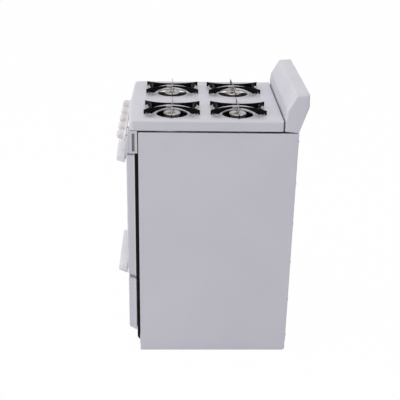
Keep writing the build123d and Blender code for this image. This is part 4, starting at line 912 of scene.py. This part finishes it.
door_low, door_high = (327.0, 317.5), (DOOR_TOP, DOOR_TOP)
front_pan("door_skin", "oven_door", "door_outer_panel", DOOR_FRONT, door_low, door_high, hem=1.5, lugs=True)
gasket_braid = finish_with("gasket_braid", fibre_group, {"Tint": (0.16, 0.16, 0.165)}, 0.8, 0.001)
dress(oven_enamel, "oven_enamel", "door_inner_panel")
dress(mineral_wool, "mineral_wool", "door_insulation")
dress(gasket_braid, "gasket_braid", "door_gasket")
dress(galvanised, "galvanised_steel", "door_hinge_arms")

# Handles.
# Two long white moulded grips, flat on top and cut away below, held off the door and the drawer by
# two spacers each.
handle_plastic = finish_with(
    "handle_plastic", moulded_group, {"Tint": (0.79, 0.785, 0.81), "Gloss": 0.28}, 0.1, 0.0003, IOR=1.5
)
HANDLE_HALF, HANDLE_END = 167.5, 5.0
GRIP_RADII = np.array((3.0, 3.0, 1.5, 2.0))
SPACER_PLACE, SPACER_HALF = 130.0, 7.0
grips = (
    ("door", "oven_door", 753.0, -50.0, 4.0, -21.0, 17.0, 26.0, DOOR_FRONT),
    ("drawer", "broiler_drawer", 306.0, -52.0, 0.0, -19.0, 7.0, 21.0, DRAWER_FRONT),
)
for title, body, top, front, bow, rear, nose_height, height, face in grips:
    rings = []
    ends = eased_ends(HANDLE_HALF, HANDLE_END, 6)
    for x, inset in ends[:7] + [(x, 0.0) for x in np.linspace(-150, 150, 13)] + ends[7:]:
        nose = front - bow * (1 - (x / HANDLE_HALF) ** 2)
        corners = np.array([(nose, top - nose_height), (nose, top), (rear, top), (rear, top - height)])
        radii = np.maximum(GRIP_RADII - 0.3 * inset, 0.6)
        rings.append(spread(round_corners(inset_loop(corners, 0.55 * inset), radii, 4), 0, x))
    lay(f"{title}_grip", rings, body, handle_plastic, "white_handle", [f"{title}_handle"])
    for side in (-1, 1):
        low, high = top - height + 4.0, top - 3.0
        block = [(-SPACER_HALF, low), (SPACER_HALF, low), (SPACER_HALF, high), (-SPACER_HALF, high)]
        block = round_corners(block, (2.0,) * 4, 3) + (side * SPACER_PLACE, 0.0)
        cuts = ((face, 0.0), (face - 0.6, 0.6), (rear + 0.6, 0.6), (rear, 0.0))
        spacer = [spread(inset_loop(block, inset), 1, depth) for depth, inset in cuts]
        lay(f"{title}_spacer_{'right' if side > 0 else 'left'}", spacer, body, handle_plastic, "white_handle")

# Broiler drawer.
# A white front like the door's over a zinc-coated box that rides on two rails, with the enamelled
# pan and its slotted grid inside.
drawer_low, drawer_high = (103.0, 88.0), (310.5, 305.0)
front_pan("drawer_skin", "broiler_drawer", "drawer_front", DRAWER_FRONT, drawer_low, drawer_high, hem=0.4)
dress(galvanised, "galvanised_steel", "drawer_box")
dress(oven_enamel, "oven_enamel", "broiler_pan", "broiler_grid")

# Floor, light and camera.
# A pale floor that glows towards the camera, an even sky, and three soft lamps: overhead, in front and
# at the side.
FLOOR = [(-40, -40, 0), (40, -40, 0), (40, 40, 0), (-40, 40, 0)]
floor_mesh = bpy.data.meshes.new("floor")
floor_mesh.from_pydata(FLOOR, [], [(0, 1, 2, 3)])
floor = bpy.data.objects.new("floor", floor_mesh)
scene.collection.objects.link(floor)
floor_paint, nodes, links, shader = node_tree("floor_paint")
shader.inputs["Base Color"].default_value = (0.86, 0.86, 0.86, 1.0)
shader.inputs["Roughness"].default_value = 0.7
glow = nodes.new("ShaderNodeEmission")
glow.inputs["Strength"].default_value = 1.0
seen = nodes.new("ShaderNodeLightPath")
mixed = nodes.new("ShaderNodeMixShader")
GLOW_SHARE = 0.985  # the rest shows light and shadow
share = combine(nodes, links, "MULTIPLY", seen.outputs["Is Camera Ray"], GLOW_SHARE)
links.new(share, mixed.inputs["Fac"])
links.new(shader.outputs["BSDF"], mixed.inputs[1])
links.new(glow.outputs["Emission"], mixed.inputs[2])
output = next(node for node in nodes if node.type == "OUTPUT_MATERIAL")
links.new(mixed.outputs["Shader"], output.inputs["Surface"])
floor_mesh.materials.append(floor_paint)

world = bpy.data.worlds.new("sky")
scene.world = world
world.use_nodes = True
nodes, links = world.node_tree.nodes, world.node_tree.links
nodes.clear()
output = nodes.new("ShaderNodeOutputWorld")
seen = nodes.new("ShaderNodeLightPath")
bounced = combine(nodes, links, "MAXIMUM", seen.outputs["Is Glossy Ray"], seen.outputs["Is Transmission Ray"])
shown = combine(nodes, links, "MAXIMUM", seen.outputs["Is Camera Ray"], bounced)
mixed = nodes.new("ShaderNodeMixShader")
links.new(shown, mixed.inputs["Fac"])
for index, colour, strength in ((1, (0.97, 0.98, 1.0, 1.0), 0.6), (2, (1.0, 1.0, 1.0, 1.0), 1.0)):
    sky = nodes.new("ShaderNodeBackground")
    sky.inputs["Color"].default_value = colour
    sky.inputs["Strength"].default_value = strength
    links.new(sky.outputs["Background"], mixed.inputs[index])
links.new(mixed.outputs["Shader"], output.inputs["Surface"])

LIT_POINT = np.array((0.0, 0.0, 0.6))
lamps = (
    ("overhead", (0.6, -0.35, 3.2), 2.4, 20.5, (1.0, 0.99, 0.92)),
    ("front", (0.6, -3.4, 1.6), 2.0, 44.0, (1.0, 1.0, 1.0)),
    ("side", (3.6, 0.6, 1.2), 2.4, 8.0, (0.98, 0.98, 1.0)),
)
for title, spot, size, power, colour in lamps:
    lamp = bpy.data.lights.new(title, "AREA")
    lamp.size = size
    lamp.energy = power
    lamp.color = colour
    fixture = bpy.data.objects.new(title, lamp)
    fixture.location = spot
    fixture.rotation_euler = Vector(LIT_POINT - spot).to_track_quat("-Z", "Y").to_euler()
    scene.collection.objects.link(fixture)

LENS_RATIO = 2.02375  # focal length over sensor width
EYE = (2.8612, 0.1521 + FRONT_EDGE, 1.7484)
yaw, pitch, roll = -0.0356, 0.4072, 0.0201
camera = bpy.data.objects.new("camera", bpy.data.cameras.new("camera"))
camera.data.lens = LENS_RATIO * camera.data.sensor_width
forward = Vector((-math.cos(yaw) * math.cos(pitch), -math.sin(yaw) * math.cos(pitch), -math.sin(pitch)))
right = forward.cross(Vector((0, 0, 1))).normalized()
up = right.cross(forward)
rolled_right = right * math.cos(roll) + up * math.sin(roll)
rolled_up = up * math.cos(roll) - right * math.sin(roll)
turn = Matrix((rolled_right, rolled_up, -forward)).transposed()
camera.matrix_world = Matrix.Translation(EYE) @ turn.to_4x4()
camera.data.clip_end = 50
scene.collection.objects.link(camera)
scene.camera = camera
scene.view_settings.view_transform = "Standard"
